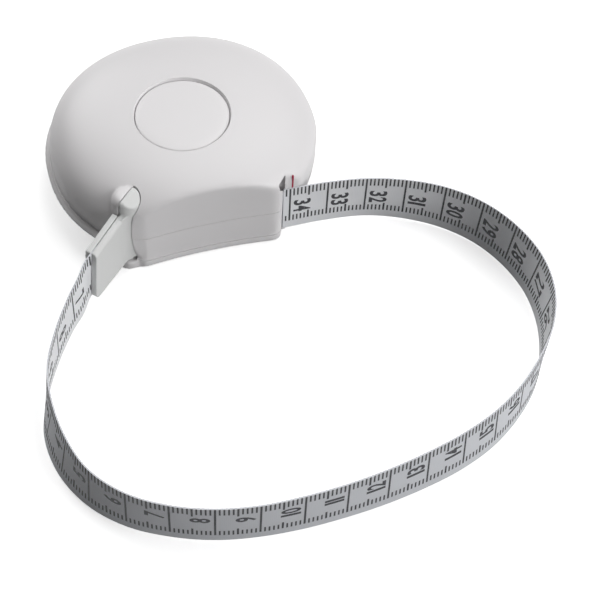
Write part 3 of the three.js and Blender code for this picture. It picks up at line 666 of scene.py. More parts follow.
def dome_ovals(bottom, wall):
    """Ovals of the upper shell from a height up, closing in as a rounded dome."""
    x, y, wide, deep = DOME_OVAL
    rise = CASE_HEIGHT - wall - WALL_TOP
    ovals = [(x, y, wide, deep, bottom)]
    for i in range(DOME_STEPS + 1):
        turn = math.pi / 2 * i / (DOME_STEPS + 0.3)
        share = math.cos(turn) ** (2 / DOME_POWER)
        height = WALL_TOP + rise * math.sin(turn) ** (2 / DOME_POWER)
        inner = (wide - wall) * share + wall
        ovals.append((x, y, inner, (deep - wall) * share + wall, height))
    return ovals


def case_front(front_wall, side_wall):
    """All that lies behind the case's front, as a solid."""
    return raise_outline("front", behind_front(front_wall, side_wall), BELOW, ABOVE)


def inside_room(ovals):
    """The room for the reel, short of the walls round the socket."""
    room = trimmed(raise_ovals("room", ovals, wall=CASE_WALL, steps=96), CASE_WALL)
    combine(room, "INTERSECT", case_front(FRONT_WALL, CASE_WALL))
    guard = post("guard", SOCKET_RADIUS + SOCKET_WALL, BELOW, ABOVE, SOCKET)
    return combine(room, "DIFFERENCE", tab_corner(CASE_WALL), guard)


def socket_bore():
    """The round hole that the peg stands in, in front of the ear."""
    bore = post("bore", SOCKET_RADIUS, LEDGE_TOP, ABOVE, SOCKET, 96)
    return combine(bore, "INTERSECT", beside_seam(1, -SEAM_HALF))


def ear(low):
    """The half post behind the peg."""
    body = crowned_post("ear", EAR_RADIUS, low, EAR_ROUNDING)
    return combine(body, "INTERSECT", beside_seam(-1, -SEAM_HALF))


def across_front(name, front_view, near, far, lean=(0, 0)):
    """A front view of the case, raised from one depth to another. It may slide and sink on its way
    back, and is true at the step's face."""
    obj = raise_outline(name, front_view, -near, -far)
    slide, sink = lean
    obj.data.transform(Matrix((
        (1, 0, -slide, -slide * STEP_Y),
        (0, 0, -1, 0),
        (0, 1, -sink, -sink * STEP_Y),
        (0, 0, 0, 1))))
    return obj


def right_foot_corner():
    """What the rounded lower corner leaves off the flat front's right end."""
    right = FRONT_RIGHT_X
    radius = FRONT_FOOT_CORNER
    start = (right - radius, 0)
    curve = curve_points(start, (right, 0), (right, radius), 12)
    shape = [(right + 1, -1), (right - radius, -1), start, *curve, (right + 1, radius)]
    return across_front("foot_corner", shape, -40, STEP_Y)


def trimmed(obj, wall=0.0):
    """Trims the right side of an oval by the wider circle."""
    x, y, radius = RIGHT_TRIM
    return combine(obj, "INTERSECT", post("trim", radius - wall, BELOW, ABOVE_TOOLS, (x, y), 256))


# Materials

def bare_tree(owner):
    """The node tree of a material or a world, emptied."""
    owner.use_nodes = True
    owner.node_tree.nodes.clear()
    return owner.node_tree


def new_material(name):
    """An empty material with its output and its principled shader."""
    material = bpy.data.materials.new(name)
    tree = bare_tree(material)
    shader = add_node(tree, "ShaderNodeBsdfPrincipled")
    add_node(tree, "ShaderNodeOutputMaterial", {"Surface": shader.outputs[0]})
    return material, tree, shader


def feed(node, inputs):
    """Sets a node's inputs, and links those that are given a socket."""
    for key, value in inputs.items():
        if isinstance(value, bpy.types.NodeSocket):
            node.id_data.links.new(value, node.inputs[key])
        else:
            node.inputs[key].default_value = value


def add_node(tree, kind, inputs=None, **settings):
    """Adds a node with its settings and its inputs."""
    node = tree.nodes.new(kind)
    for key, value in settings.items():
        setattr(node, key, value)
    feed(node, inputs or {})
    return node


def darkened(tree, colour, pattern, low, high=1.0, start=0.0, end=1.0):
    """A colour multiplied by a pattern, whose range from start to end becomes low to high."""
    level = add_node(tree, "ShaderNodeMapRange", {
        "Value": pattern, "From Min": start, "From Max": end, "To Min": low, "To Max": high})
    tint = add_node(tree, "ShaderNodeMix", {
        "Factor": 1.0, "A": colour, "B": level.outputs[0]}, data_type="RGBA", blend_type="MULTIPLY")
    return tint.outputs["Result"]


def grained(tree, pattern, roughness, waver, strength, depth):
    """Roughness and a bump that follow one pattern, its depth in millimetres."""
    rough = add_node(tree, "ShaderNodeMapRange", {
        "Value": pattern, "To Min": roughness - waver, "To Max": roughness + waver})
    bump = add_node(tree, "ShaderNodeBump", {
        "Height": pattern, "Strength": strength, "Distance": depth * MM})
    return {"Roughness": rough.outputs[0], "Normal": bump.outputs[0]}


def moulded_plastic(name, colour, roughness, grain=0.35, ior=1.53):
    """Moulded ABS: an even satin skin with the fine grain of an eroded mould, and faint flow clouds."""
    material, tree, shader = new_material(name)
    place = add_node(tree, "ShaderNodeTexCoord").outputs["Object"]
    fine = add_node(tree, "ShaderNodeTexNoise", {
        "Vector": place, "Scale": 1 / (grain * MM), "Detail": 2.0, "Roughness": 0.5})
    cloud = add_node(tree, "ShaderNodeTexNoise", {
        "Vector": place, "Scale": 1 / (CLOUD_WIDTH * MM), "Detail": 3.0, "Roughness": 0.6})
    feed(shader, {
        "Base Color": darkened(tree, colour, cloud.outputs["Fac"], 0.985), "IOR": ior,
        **grained(tree, fine.outputs["Fac"], roughness, 0.05, 0.35, 0.012)})
    return material


def worked_metal(name, colour, roughness):
    """Metal with the fine streaks that drawing or turning leaves."""
    material, tree, shader = new_material(name)
    place = add_node(tree, "ShaderNodeTexCoord").outputs["Object"]
    stretch = add_node(tree, "ShaderNodeMapping", {"Vector": place, "Scale": (1, 1, 8)})
    streak = add_node(tree, "ShaderNodeTexNoise", {
        "Vector": stretch.outputs[0], "Scale": 1 / (STREAK_WIDTH * MM), "Detail": 4.0})
    feed(shader, {
        "Base Color": colour, "Metallic": 1.0,
        **grained(tree, streak.outputs["Fac"], roughness, 0.08, 0.2, 0.01)})
    return material


def coated_cloth(name, colour):
    """Glass-fibre cloth under a vinyl coat: a plain weave of flat threads that barely shows, satin sheen.
    The map is in millimetres along and across the tape, and the thread spacing is the real one."""
    material, tree, shader = new_material(name)
    place = add_node(tree, "ShaderNodeUVMap", uv_map="tape_mm").outputs[0]
    along, across = (
        add_node(tree, "ShaderNodeTexWave", {
            "Vector": place, "Scale": math.pi / (10 * THREAD_SPACING), "Distortion": 0.6,
            "Detail": 1.0, "Detail Scale": 0.4}, bands_direction=way)
        for way in "XY")
    weave = add_node(tree, "ShaderNodeMath", {
        0: along.outputs["Fac"], 1: across.outputs["Fac"]}, operation="MULTIPLY")
    cloud = add_node(tree, "ShaderNodeTexNoise", {"Vector": place, "Scale": 0.12, "Detail": 3.0})
    shade = add_node(tree, "ShaderNodeMath", {
        0: weave.outputs[0], 1: cloud.outputs["Fac"]}, operation="ADD")
    bump = add_node(tree, "ShaderNodeBump", {
        "Height": weave.outputs[0], "Strength": 0.25, "Distance": 0.02 * MM})
    feed(shader, {
        "Base Color": darkened(tree, colour, shade.outputs[0], 0.93, start=0.2, end=1.5),
        "Roughness": 0.52, "IOR": 1.5, "Normal": bump.outputs[0]})
    return material


def printed_ink(name, colour):
    """Screen-printed ink on the cloth: dense and matt, a little thin where threads rise."""
    material, tree, shader = new_material(name)
    place = add_node(tree, "ShaderNodeTexCoord").outputs["Object"]
    speck = add_node(tree, "ShaderNodeTexNoise", {
        "Vector": place, "Scale": 1 / (SPECK_WIDTH * MM), "Detail": 2.0})
    feed(shader, {
        "Base Color": darkened(tree, colour, speck.outputs["Fac"], 0.8, 1.35), "Roughness": 0.6})
    return material


def dress(obj, material):
    obj.data.materials.clear()
    obj.data.materials.append(material)


# Tape

def between(a, b, start, end, t):
    """The point at t on a straight way that is at a at its start and at b at its end."""
    return a * ((end - t) / (end - start)) + b * ((t - start) / (end - start))


def distances(points):
    """How far along a chain of points each of them is."""
    return np.concatenate(([0], np.cumsum(np.linalg.norm(np.diff(points, axis=0), axis=1))))


def route_points(points, count):
    """Evenly spaced points on the smooth curve through a route."""
    knots = [Vector(point) for point in points]
    knots = [knots[0] * 2 - knots[1], *knots, knots[-1] * 2 - knots[-2]]
    fine = []
    for a, b, c, d in zip(knots, knots[1:], knots[2:], knots[3:]):
        t1 = (b - a).length ** 0.5
        t2 = t1 + (c - b).length ** 0.5
        t3 = t2 + (d - c).length ** 0.5
        for i in range(24):
            t = t1 + (t2 - t1) * i / 24
            bc = between(b, c, t1, t2, t)
            abc = between(between(a, b, 0, t1, t), bc, 0, t2, t)
            bcd = between(bc, between(c, d, t2, t3, t), t1, t3, t)
            fine.append(between(abc, bcd, t1, t2, t))
    fine.append(knots[-2])
    fine = np.array([tuple(point) for point in fine])
    run = distances(fine[:, :3])
    wanted = np.linspace(0, run[-1], count)
    return np.stack([np.interp(wanted, run, fine[:, k]) for k in range(4)], axis=1)


class Ribbon:
    """A strip on its edge along a route, with places by distance along and height across."""

    def __init__(self, points, width):
        self.points = points
        self.width = width
        way = np.gradient(points[:, :2], axis=0)
        way /= np.linalg.norm(way, axis=1)[:, None]
        self.sides = np.stack([-way[:, 1], way[:, 0]], axis=1)
        self.run = distances(points[:, :2])
        self.length = self.run[-1]

    def at(self, along, across, off):
        """Point so far along, so high above the lower edge, and so far off to the left."""
        place = [np.interp(along, self.run, self.points[:, k]) for k in range(3)]
        side = [np.interp(along, self.run, self.sides[:, k]) for k in range(2)]
        off += np.interp(along, self.run, self.points[:, 3]) * across / self.width
        return (place[0] + side[0] * off, place[1] + side[1] * off, place[2] + across)


def strip_piece(name, ribbon, thickness=TAPE_THICKNESS, rows=6):
    """A grid laid along a ribbon, mapped in millimetres and given its thickness."""
    columns = len(ribbon.points)
    bpy.ops.mesh.primitive_grid_add(x_subdivisions=columns - 1, y_subdivisions=rows, size=2)
    obj = bpy.context.object
    obj.name = name
    flat = obj.data.uv_layers.active
    flat.name = "tape_mm"
    for entry in flat.data:
        entry.uv = (entry.uv[0] * ribbon.length, entry.uv[1] * ribbon.width)
    for vertex in obj.data.vertices:
        share = (vertex.co.x + 1) / 2
        along = ribbon.run[min(round(share * (columns - 1)), columns - 1)]
        vertex.co = ribbon.at(along, (vertex.co.y + 1) / 2 * ribbon.width, 0)
    modify(obj, "SOLIDIFY", thickness=thickness, offset=0, use_even_offset=True)
    return obj


def digit_stamps():
    """Vertices and faces of the digits 0 to 9 in a unit square, cut across so that they can bend."""
    stamps = []
    for digit in "0123456789":
        bpy.ops.object.text_add()
        word = bpy.context.object
        word.data.body = digit
        word.data.resolution_u = 3
        word.data.offset = DIGIT_BOLDNESS
        only(word)
        bpy.ops.object.convert(target="MESH")
        word = bpy.context.object
        places = np.array([tuple(vertex.co) for vertex in word.data.vertices])
        low = places.min(axis=0)
        span = places.max(axis=0) - low
        for vertex in word.data.vertices:
            vertex.co = ((vertex.co.x - low[0]) / span[0], (vertex.co.y - low[1]) / span[1], 0)
        for i in range(1, DIGIT_PARTS):
            open_edit(word, everything=True)
            bpy.ops.mesh.bisect(plane_co=(0, i / DIGIT_PARTS, 0), plane_no=(0, 1, 0))
            close_edit()
        vertices = [(vertex.co.x, vertex.co.y) for vertex in word.data.vertices]
        faces = [tuple(face.vertices) for face in word.data.polygons]
        stamps.append((vertices, faces))
        bpy.data.objects.remove(word)
    return stamps


def hang_on_tab(obj):
    """Bakes the loop's place into its mesh."""
    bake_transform(obj)


class Print:
    """Flat marks gathered in millimetres along and across the tape, for one of its faces."""

    def __init__(self, ribbon, off, turn):
        self.ribbon = ribbon
        self.off = off
        self.turn = turn
        self.vertices = []
        self.faces = []

    def add(self, vertices, faces):
        first = len(self.vertices)
        self.vertices += [self.ribbon.at(along, across, self.off) for along, across in vertices]
        self.faces += [tuple(first + i for i in face) for face in faces]

    def bar(self, along, low, high, width):
        self.add(rectangle(along - width / 2, along + width / 2, low, high), [(0, 1, 2, 3)])

    def number(self, stamps, value, along, middle, height, width):
        """A number on its side, with the tops of its digits toward the tab, just before its line."""
        space = width * DIGIT_SPACE
        wides = [width * (ONE_WIDTH if digit == "1" else 1.0) for digit in str(value)]
        start = -(sum(wides) + space * (len(wides) - 1)) / 2
        for digit, wide in zip(str(value), wides):
            vertices, faces = stamps[int(digit)]
            placed = [
                (along - y * height, middle + self.turn * (start + x * wide)) for x, y in vertices]
            self.add(placed, faces)
            start += wide + space


# Pieces

class TAPE_OT_stage(bpy.types.Operator):
    """Adds the camera, the lamps, the world and the pale floor"""
    bl_idname = "tape_measure.stage"
    bl_label = "Stage and camera"

    def execute(self, context):
        scene = context.scene
        bpy.ops.object.camera_add()
        camera = context.object
        camera.name = "camera"
        self.look(camera, EYE, AIM, ROLL)
        camera.data.sensor_width = SENSOR
        camera.data.lens = SENSOR * FOCAL_PIXELS / FRAME_PIXELS
        camera.data.clip_start = 0.01
        scene.camera = camera
        scene.view_settings.view_transform = "Standard"

        for lamp in LAMPS:
            self.lamp(*lamp)
        self.surround(scene)
        self.floor(context)
        return {"FINISHED"}

    def look(self, obj, place, target, roll=0.0):
        """Stands a camera or a lamp at its place, turned to a target."""
        obj.location = place
        turn = (Vector(target) - Vector(place)).to_track_quat("-Z", "Y")
        obj.rotation_euler = (turn @ Quaternion((0, 0, 1), roll)).to_euler()

    def lamp(self, name, place, target, side, watts):
        bpy.ops.object.light_add(type="AREA")
        lamp = bpy.context.object
        lamp.name = name
        lamp.data.shape = "SQUARE"
        lamp.data.size = side
        lamp.data.energy = watts
        self.look(lamp, place, target)

    def seen(self, tree, other):
        """1 for the camera's rays and one other kind, and 0 for the rest."""
        path = add_node(tree, "ShaderNodeLightPath")
        kinds = {0: path.outputs["Is Camera Ray"], 1: path.outputs[other]}
        return add_node(tree, "ShaderNodeMath", kinds, operation="MAXIMUM").outputs[0]

    def surround(self, scene):
        world = bpy.data.worlds.new("soft_surround")
        scene.world = world
        tree = bare_tree(world)
        level = add_node(tree, "ShaderNodeMapRange", {
            "Value": self.seen(tree, "Is Transmission Ray"), "To Min": SURROUND_LEVEL, "To Max": 1.0})
        light = add_node(tree, "ShaderNodeBackground", {
            "Color": (1, 1, 1, 1), "Strength": level.outputs[0]})
        add_node(tree, "ShaderNodeOutputWorld", {"Surface": light.outputs[0]})

    def floor(self, context):
        bpy.ops.mesh.primitive_plane_add(size=FLOOR_SIDE, location=(0, 0, -FLOOR_DROP))
        floor = context.object
        floor.name = "pale_floor"
        material = bpy.data.materials.new("painted_board")
        tree = bare_tree(material)
        white = add_node(tree, "ShaderNodeBsdfDiffuse", {"Color": chosen("floor")})
        lift = add_node(tree, "ShaderNodeEmission", {"Color": (1, 1, 1, 1), "Strength": FLOOR_GLOW})
        bright = add_node(tree, "ShaderNodeAddShader", {0: white.outputs[0], 1: lift.outputs[0]})
        dull = add_node(tree, "ShaderNodeBsdfDiffuse", {"Color": linear(FLOOR_BOUNCE)})
        mixed = add_node(tree, "ShaderNodeMixShader", {
            0: self.seen(tree, "Is Glossy Ray"), 1: dull.outputs[0], 2: bright.outputs[0]})
        add_node(tree, "ShaderNodeOutputMaterial", {"Surface": mixed.outputs[0]})
        floor.data.materials.append(material)


class TAPE_OT_free_tape(bpy.types.Operator):
    """Adds the standing loop of tape with its printed scale"""
    bl_idname = "tape_measure.free_tape"
    bl_label = "Free tape"

    def execute(self, context):
        width = size("tape_width")
        cloth = coated_cloth("coated_glass_cloth", chosen("tape"))
        # The inner face's lighter cloth is painted light for the loop's far side
        inside = coated_cloth("coated_glass_cloth_inner", chosen("tape_inside"))
        start = (*tab_point(TAB_LENGTH, 0), *TAPE_ROUTE[0][2:])
        points = route_points((start, *TAPE_ROUTE[1:]), TAPE_STATIONS)
        ribbon = Ribbon(points, width)
        tape = finish(strip_piece("loop", ribbon), "drawn_tape", cloth, None,
                      "free_tape", slot="tape_cloth", angle=60)
        tape.data.materials.append(inside)
        # Faces turned to the loop's inside take the lighter cloth, the painted light of the far side
        for face in tape.data.polygons:
            nearest = np.argmin(np.hypot(*(points[:, :2] - np.array(face.center)[:2] / MM).T))
            face.material_index = int(np.dot(face.normal[:2], ribbon.sides[nearest]) > 0.5)
        hang_on_tab(tape)
        scale = self.scale(ribbon, width)
        hang_on_tab(scale)
        return {"FINISHED"}

    def scale(self, ribbon, width):
        """Ticks, lines and numbers on both faces. The inner face starts at 6, the outer at -1."""
        stamps = digit_stamps()
        strokes = (size("tick_width"), size("line_width"))
        margin = size("blank_margin")
        vertices = []
        faces = []
        for side, turn, first, lowest, drop, shift in SCALE_FACES:
            sheet = Print(ribbon, side * (TAPE_THICKNESS / 2 + INK_RISE), turn)
            last = int((ribbon.length - shift) // 1)
            for tick in range(0 if lowest > 0 else 10, last + 1):
                along = tick + shift
                value = first + tick / 10
                if tick % 10 == 0 and value >= lowest:
                    sheet.bar(along, margin, width, strokes[1])
                    if value > 0:
                        sheet.number(stamps, int(value), along - NUMBER_BEFORE_LINE, width - drop,
                                     size("digit_height"), size("digit_width"))
                    continue
                half = tick % 5 == 0
                sheet.bar(along, width - UPPER_TICKS[half], width, strokes[half])
                sheet.bar(along, margin, margin + LOWER_TICKS[half], strokes[half])
            faces += [tuple(len(vertices) + i for i in face) for face in sheet.faces]
            vertices += sheet.vertices
        mesh = bpy.data.meshes.new("scale")
        mesh.from_pydata(vertices, [], faces)
        obj = bpy.data.objects.new("scale", mesh)
        bpy.context.scene.collection.objects.link(obj)
        modify(obj, "SOLIDIFY", thickness=INK_THICKNESS, offset=0)
        ink = printed_ink("screen_printed_ink", chosen("ink"))
        return finish(obj, "printed_scale", ink, None, angle=30)


class TAPE_OT_case(bpy.types.Operator):
    """Models the two shells of the case"""
    bl_idname = "tape_measure.case"
    bl_label = "Case shells"

    def execute(self, context):
        plastic = moulded_plastic("moulded_abs_case", chosen("case"), 0.46)
        self.upper(plastic)
        self.lower(plastic)
        return {"FINISHED"}

    def upper(self, plastic):
        bottom = PARTING_HEIGHT + PARTING_GAP
        low = bottom - PAST_PARTING
        shell = trimmed(raise_ovals("top", dome_ovals(low, 0)))
        combine(shell, "INTERSECT", case_front(0, 0))
        soften(shell, size("soft_edge"), DOME_ROUNDS)
        combine(shell, "DIFFERENCE", tab_corner(0))
        combine(shell, "UNION", ear(low))
        soften(shell, size("soft_edge"), EDGE_ROUNDS)
        combine(shell, "INTERSECT", slab(bottom, ABOVE))
        room = inside_room(dome_ovals(low - ROOM_LOWER, CASE_WALL))
        hole = size("button_radius") + size("button_groove")
        sleeve = post("sleeve", hole + SLEEVE_WALL, SLEEVE_BOTTOM, ABOVE)
        combine(room, "DIFFERENCE", sleeve, *screw_posts("boss", UPPER_BOSS))
        flare = [(0, 0), *((hole + wider, height) for wider, height in HOLE_FLARE), (0, ABOVE)]
        combine(shell, "DIFFERENCE", room, socket_bore(), turn_profile("hole", flare, 128),
                tape_channel(0, CHANNEL_TOP), across_front("mouth", MOUTH, *MOUTH_DEPTHS, MOUTH_LEAN),
                block("groove", *MARK_GROOVE), *screw_posts("pilot", PILOT_HOLE))
        finish(shell, "top_shell", plastic, "case", "upper_case", slot="case_white", angle=35)

    def lower(self, plastic):
        x, y, wide, deep = RIM_OVAL
        under = (x, y, wide - RIM_LIP, deep - RIM_LIP)
        top = ((*DOME_OVAL, PARTING_HEIGHT), (*DOME_OVAL, LOWER_PAST_PARTING))
        shell = raise_ovals("bottom", (
            (*FOOT_OVAL, 0), (*under, RIM_UNDER), (*RIM_OVAL, RIM_LOW), (*RIM_OVAL, RIM_HIGH), *top))
        trimmed(combine(shell, "UNION", raise_outline("block", FRONT_BLOCK, 0, LOWER_PAST_PARTING)))
        combine(shell, "INTERSECT", self.front_with_plinth())
        combine(shell, "DIFFERENCE", tab_corner(0), right_foot_corner())
        combine(shell, "UNION", ear(0), post("ledge", LEDGE_RADIUS, 0, LEDGE_TOP, SOCKET))
        soften(shell, size("soft_edge"), EDGE_ROUNDS)
        combine(shell, "INTERSECT", slab(-1, PARTING_HEIGHT))
        foot = [a + (b - a) * BASE_THICKNESS / RIM_LOW for a, b in zip(FOOT_OVAL, RIM_OVAL)]
        room = inside_room(((*foot, BASE_THICKNESS), (*RIM_OVAL, RIM_LOW), *top))
        combine(room, "DIFFERENCE", post("hub", *HUB), *screw_posts("boss", LOWER_BOSS))
        line = slab(PLINTH_HEIGHT + GROOVE_LOW, PLINTH_HEIGHT + GROOVE_HIGH)
        combine(line, "DIFFERENCE", case_front(GROOVE_DEPTH, 0))
        combine(shell, "DIFFERENCE", room, socket_bore(), line, post("pin", *PIN_HOLE),
                tape_channel(BASE_THICKNESS, CHANNEL_TOP), *screw_posts("head", HEAD_HOLE, 32),
                *screw_posts("shank", SHANK_HOLE))
        finish(shell, "bottom_shell", plastic, "case", "lower_case", slot="case_white", angle=35)

    def front_with_plinth(self):
        """All behind the front, which stands out along the foot, with its lowest edge cut off."""
        front = raise_outline("front", behind_front(0, 0), -1, ABOVE)
        plinth = raise_outline("plinth", behind_front(-PLINTH, 0), 0, PLINTH_HEIGHT)
        open_edit(plinth)
        pick_edges(plinth, lambda place: (
            place.z < 0.1 and HOOK_TIP[0] - 1 < place.x < FRONT_RIGHT_X + 0.1 and place.y < STEP_Y + 0.1))
        bpy.ops.mesh.bevel(offset=PLINTH_BEVEL, segments=1, affect="EDGES")
        close_edit()
        combine(front, "DIFFERENCE", slab(-2, PLINTH_HEIGHT - 0.1))
        return combine(front, "UNION", plinth)


class TAPE_OT_button(bpy.types.Operator):
    """Models the push button"""
    bl_idname = "tape_measure.button"
    bl_label = "Button"

    def execute(self, context):
        radius = size("button_radius")
        plastic = moulded_plastic("moulded_abs_button", chosen("button"), 0.42)
        profile = [(radius * share, height) for share, height in BUTTON_CROWN]
        for i in range(7):
            turn = math.radians(80 - 80 * i / 6)
            profile.append((
                radius - BUTTON_EDGE + BUTTON_EDGE * math.cos(turn),
                BUTTON_EDGE_HEIGHT + BUTTON_EDGE * math.sin(turn)))
        reach, low, high = BUTTON_FLANGE
        bore, stem, foot = STEM
        inner = radius - BUTTON_WALL
        profile += [
            (radius, high), (radius + reach, high), (radius + reach, low), (inner, low),
            (inner, BUTTON_ROOF), (stem, BUTTON_ROOF), (stem, foot), (bore, foot),
            (bore, BUTTON_ROOF), (0, BUTTON_ROOF)]
        button = turn_profile("button", profile, 144)
        finish(button, "press_button", plastic, "button", "release_button", slot="button_white", angle=30)
        return {"FINISHED"}


class TAPE_OT_tab(bpy.types.Operator):
    """Models the two halves of the end tab with its peg"""
    bl_idname = "tape_measure.tab"
    bl_label = "End tab"

    def execute(self, context):
        plastic = moulded_plastic("moulded_abs_tab", chosen("tab"), 0.44)
        front = self.plate(0, -TAB_HALF, -TAB_GAP, FRONT_PLATE_ROUNDING)
        combine(front, "UNION", self.peg(), self.fillet())
        rear = self.plate(TAPE_END_START, TAB_GAP, TAB_HALF, REAR_PLATE_ROUNDING)
        for shell, name, node in (
                (front, "tab_front_half", "tab_front_shell"), (rear, "tab_rear_half", "tab_rear_shell")):
            combine(soften(shell, TAB_VOXEL, TAB_ROUNDS), "DIFFERENCE", self.pocket())
            finish(shell, name, plastic, "tab", node, slot="tab_grey", angle=45)
        return {"FINISHED"}

    def plate(self, start, back, front, rounding):
        """A tab's side view raised across its thickness, with its outer top edge rounded."""
        fall = (TAB_TOP - TAB_END_TOP) / (TAB_LENGTH - PEG_RADIUS)
        lean = TAB_TOE / (TAB_END_TOP - TAB_BOTTOM)
        end = TAB_LENGTH + TAB_TOE
        shape = [(start, TAB_TOP - fall * (start - PEG_RADIUS)), (start, TAB_BOTTOM)]
        shape += [(end - TAB_CORNER, TAB_BOTTOM)]
        shape += curve_points(
            shape[-1], (end, TAB_BOTTOM), (end - lean * TAB_CORNER, TAB_BOTTOM + TAB_CORNER), 10)
        shape += [(TAB_LENGTH, TAB_END_TOP)]
        obj = raise_outline("plate", shape, back, front)
        face = front if abs(front) > abs(back) else back
        open_edit(obj)
        pick_edges(obj, lambda place: place.y > TAB_END_TOP - 0.01 and abs(place.z - face) < 0.01)
        bpy.ops.mesh.bevel(offset=rounding, segments=8, affect="EDGES")
        close_edit()
        return place_side_view(obj)

    def peg(self):
        """The half round peg, whose flat top falls away to the front."""
        view = [(-PEG_VIEW, 0), (PEG_VIEW, 0)]
        view += [(front, KNOB_TOP - KNOB_FALL * front ** 2) for front in range(PEG_VIEW, -1, -1)]
        view += [(-PEG_VIEW, KNOB_TOP)]
        peg = crowned_post("peg", PEG_RADIUS, PEG_BOTTOM, KNOB_ROUNDING)
        return combine(peg, "INTERSECT", beside_seam(1, SEAM_HALF), along_tab("fall", view, 9))

    def pocket(self):
        """Room for the tape's end between the halves."""
        before, under, over = POCKET_MARGINS
        low = TAPE_ROUTE[0][2] - under
        view = rectangle(TAPE_END_START - before, POCKET_END, low, low + size("tape_width") + over)
        return across_tab("pocket", view, -POCKET_HALF, POCKET_HALF)

    def fillet(self):
        """The hollow curve between the tab's face and its peg."""
        radius = FILLET_RADIUS
        reach = PEG_RADIUS + radius
        rise = TAB_HALF + radius
        along = math.sqrt(reach ** 2 - rise ** 2)
        first = math.atan2(-rise, -along)
        points = [(FILLET_START, TAB_GAP + FILLET_INSET)]
        for i in range(13):
            turn = first + (-math.pi / 2 - first) * i / 12
            points.append((along + radius * math.cos(turn), rise + radius * math.sin(turn)))
        points.append((along, TAB_GAP + FILLET_INSET))
        plan = [tab_point(*point) for point in points]
        return raise_outline("fillet", plan, TAB_BOTTOM, TAB_TOP - FILLET_INSET)


class TAPE_OT_hidden_tape(bpy.types.Operator):
    """Adds the tape on the reel, its straight run to the outlet and its end inside the tab"""
    bl_idname = "tape_measure.hidden_tape"
    bl_label = "Tape inside"

    def execute(self, context):
        width = size("tape_width")
        cloth = coated_cloth("coated_glass_cloth_wound", chosen("tape"))
        clamped = [(*tab_point(along, 0), TAPE_ROUTE[0][2], 0) for along in (TAPE_END_START, TAB_LENGTH)]
        for name, points, body, node in (
                ("coiled_tape", self.coil(), "reel", "wound_tape"),
                ("straight_tape", [(*RUN_START, 0), (*OUTLET, TAPE_ROUTE[-1][3])], "case", "tape_run"),
                ("clamped_tape", clamped, "tab", "tape_end")):
            strip = strip_piece(name, Ribbon(np.array(points), width), HIDDEN_THICKNESS, 2)
            finish(strip, name, cloth, body, node, angle=60)
        return {"FINISHED"}

    def coil(self):
        """A spiral from the core out to where the straight run begins."""
        last = math.atan2(RUN_START[1], RUN_START[0])
        low = CORE_RADIUS + COIL_MARGIN
        high = COIL_RADIUS - COIL_MARGIN
        points = []
        steps = COIL_TURNS * 64
        for i in range(steps + 1):
            share = i / steps
            turn = last - 2 * math.pi * COIL_TURNS * (1 - share)
            radius = low + (high - low) * share
            points.append((radius * math.cos(turn), radius * math.sin(turn), COIL_BOTTOM, 0))
        return points


class TAPE_OT_fixings(bpy.types.Operator):
    """Models the button's coil spring and the screws that hold the case's shells together"""
    bl_idname = "tape_measure.fixings"
    bl_label = "Spring and screws"

    def execute(self, context):
        steel = worked_metal("spring_wire_steel", linear("#8a9098"), 0.3)
        self.spring(steel)
        screw = self.screw()
        for i, place in enumerate(SCREW_PLACES):
            copy = screw.copy()
            copy.data = screw.data.copy()
            context.scene.collection.objects.link(copy)
            copy.location = (*place, 0)
            only(copy)
            bpy.ops.object.transform_apply(location=True)
            finish(copy, "screw_%d" % (i + 1), steel, "case", "case_screw_%d" % (i + 1), angle=30)
        bpy.data.objects.remove(screw)
        return {"FINISHED"}

    def spring(self, steel):
        turns = bpy.context.scene.tape_measure_sizes.button_turns
        points = []
        steps = turns * 36
        for i in range(steps + 1):
            share = i / steps
            turn = 2 * math.pi * turns * share
            rise = share - SPRING_CLOSE * math.sin(2 * math.pi * share) / (2 * math.pi)
            points.append((
                SPRING_RADIUS * math.cos(turn),
                SPRING_RADIUS * math.sin(turn),
                SPRING_LOW + (SPRING_HIGH - SPRING_LOW) * rise))
        coil = finish(wire_coil("coil", SPRING_WIRE, points), "coil_spring", steel, "button",
                      "button_spring", angle=60)
        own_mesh(coil)

    def screw(self):
        """A pan-headed tapping screw, its head down, with a cross recess and a rolled thread."""
        profile = list(SCREW_HEAD)
        height = THREAD_START
        while height < THREAD_END:
            profile += [(radius, height + rise) for radius, rise in SCREW_THREAD]
            height += THREAD_PITCH
        profile += SCREW_TIP
        screw = turn_profile("screw", profile, 48)
        for x, y in ((RECESS_REACH, RECESS_HALF), (RECESS_HALF, RECESS_REACH)):
            combine(screw, "DIFFERENCE", block("arm", -x, x, -y, y, 0, RECESS_TOP))
        return screw


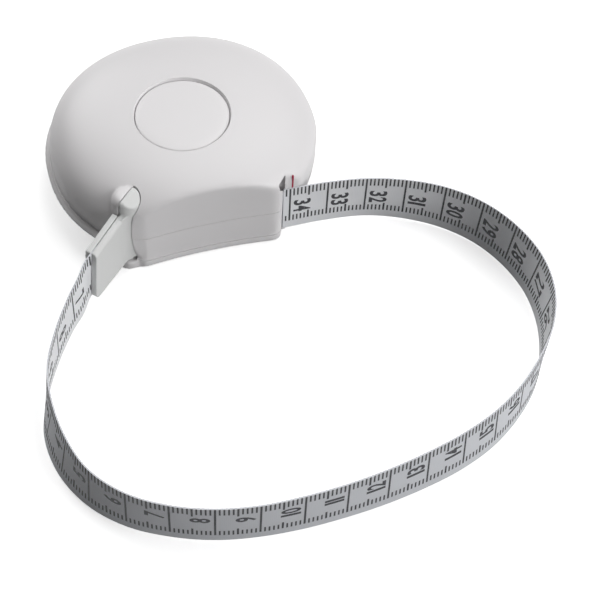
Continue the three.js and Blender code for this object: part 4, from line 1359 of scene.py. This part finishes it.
class TAPE_OT_insides(bpy.types.Operator):
    """Models the reading mark and dresses the pieces that keep their CAD shape"""
    bl_idname = "tape_measure.insides"
    bl_label = "Mark and insides"

    def execute(self, context):
        red = moulded_plastic("red_pad_print", chosen("mark"), 0.5, grain=0.2)
        finish(block("mark", *MARK), "reading_line", red, "case", "index_mark", slot="red_mark")
        acetal = moulded_plastic("moulded_acetal", linear("#b9bcc0"), 0.4)
        grey = moulded_plastic("moulded_abs_grey", linear("#d2d3d2"), 0.5)
        rubber = moulded_plastic("moulded_rubber", linear("#2b2b2d"), 0.8, ior=1.52)
        turned = worked_metal("turned_steel", linear("#b8bcc2"), 0.35)
        rolled = worked_metal("rolled_spring_steel", linear("#8a9098"), 0.3)
        for material, names in (
                (acetal, ("reel_drum", "reel_lid", "spring_cover")),
                (grey, ("brake_ring",)),
                (rubber, ("brake_pad",)),
                (turned, ("spindle", "tape_anchor", "tab_pin_1", "tab_pin_2")),
                (rolled, ("mainspring",))):
            for name in names:
                dress(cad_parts[name], material)
        return {"FINISHED"}


CLASSES = (
    TapeMeasureSizes,
    TapeMeasureColours,
    TAPE_OT_stage,
    TAPE_OT_free_tape,
    TAPE_OT_case,
    TAPE_OT_button,
    TAPE_OT_tab,
    TAPE_OT_hidden_tape,
    TAPE_OT_fixings,
    TAPE_OT_insides,
)


class TAPE_PT_pieces(bpy.types.Panel):
    """Lists the steps that build the tape measure"""
    bl_idname = "TAPE_PT_pieces"
    bl_label = "Cloth tape measure"
    bl_space_type = "VIEW_3D"
    bl_region_type = "UI"
    bl_category = "Tape"

    def draw(self, context):
        for step in CLASSES:
            if issubclass(step, bpy.types.Operator):
                self.layout.operator(step.bl_idname)


def register():
    for each in (*CLASSES, TAPE_PT_pieces):
        bpy.utils.register_class(each)
    bpy.types.Scene.tape_measure_sizes = PointerProperty(type=TapeMeasureSizes)
    bpy.types.Scene.tape_measure_colours = PointerProperty(type=TapeMeasureColours)


def unregister():
    del bpy.types.Scene.tape_measure_colours
    del bpy.types.Scene.tape_measure_sizes
    for each in reversed((*CLASSES, TAPE_PT_pieces)):
        bpy.utils.unregister_class(each)


def main():
    register()
    bpy.ops.tape_measure.stage()
    bpy.ops.tape_measure.free_tape()
    bpy.ops.tape_measure.case()
    bpy.ops.tape_measure.button()
    bpy.ops.tape_measure.tab()
    bpy.ops.tape_measure.hidden_tape()
    bpy.ops.tape_measure.fixings()
    bpy.ops.tape_measure.insides()


if __name__ == "__main__":
    main()
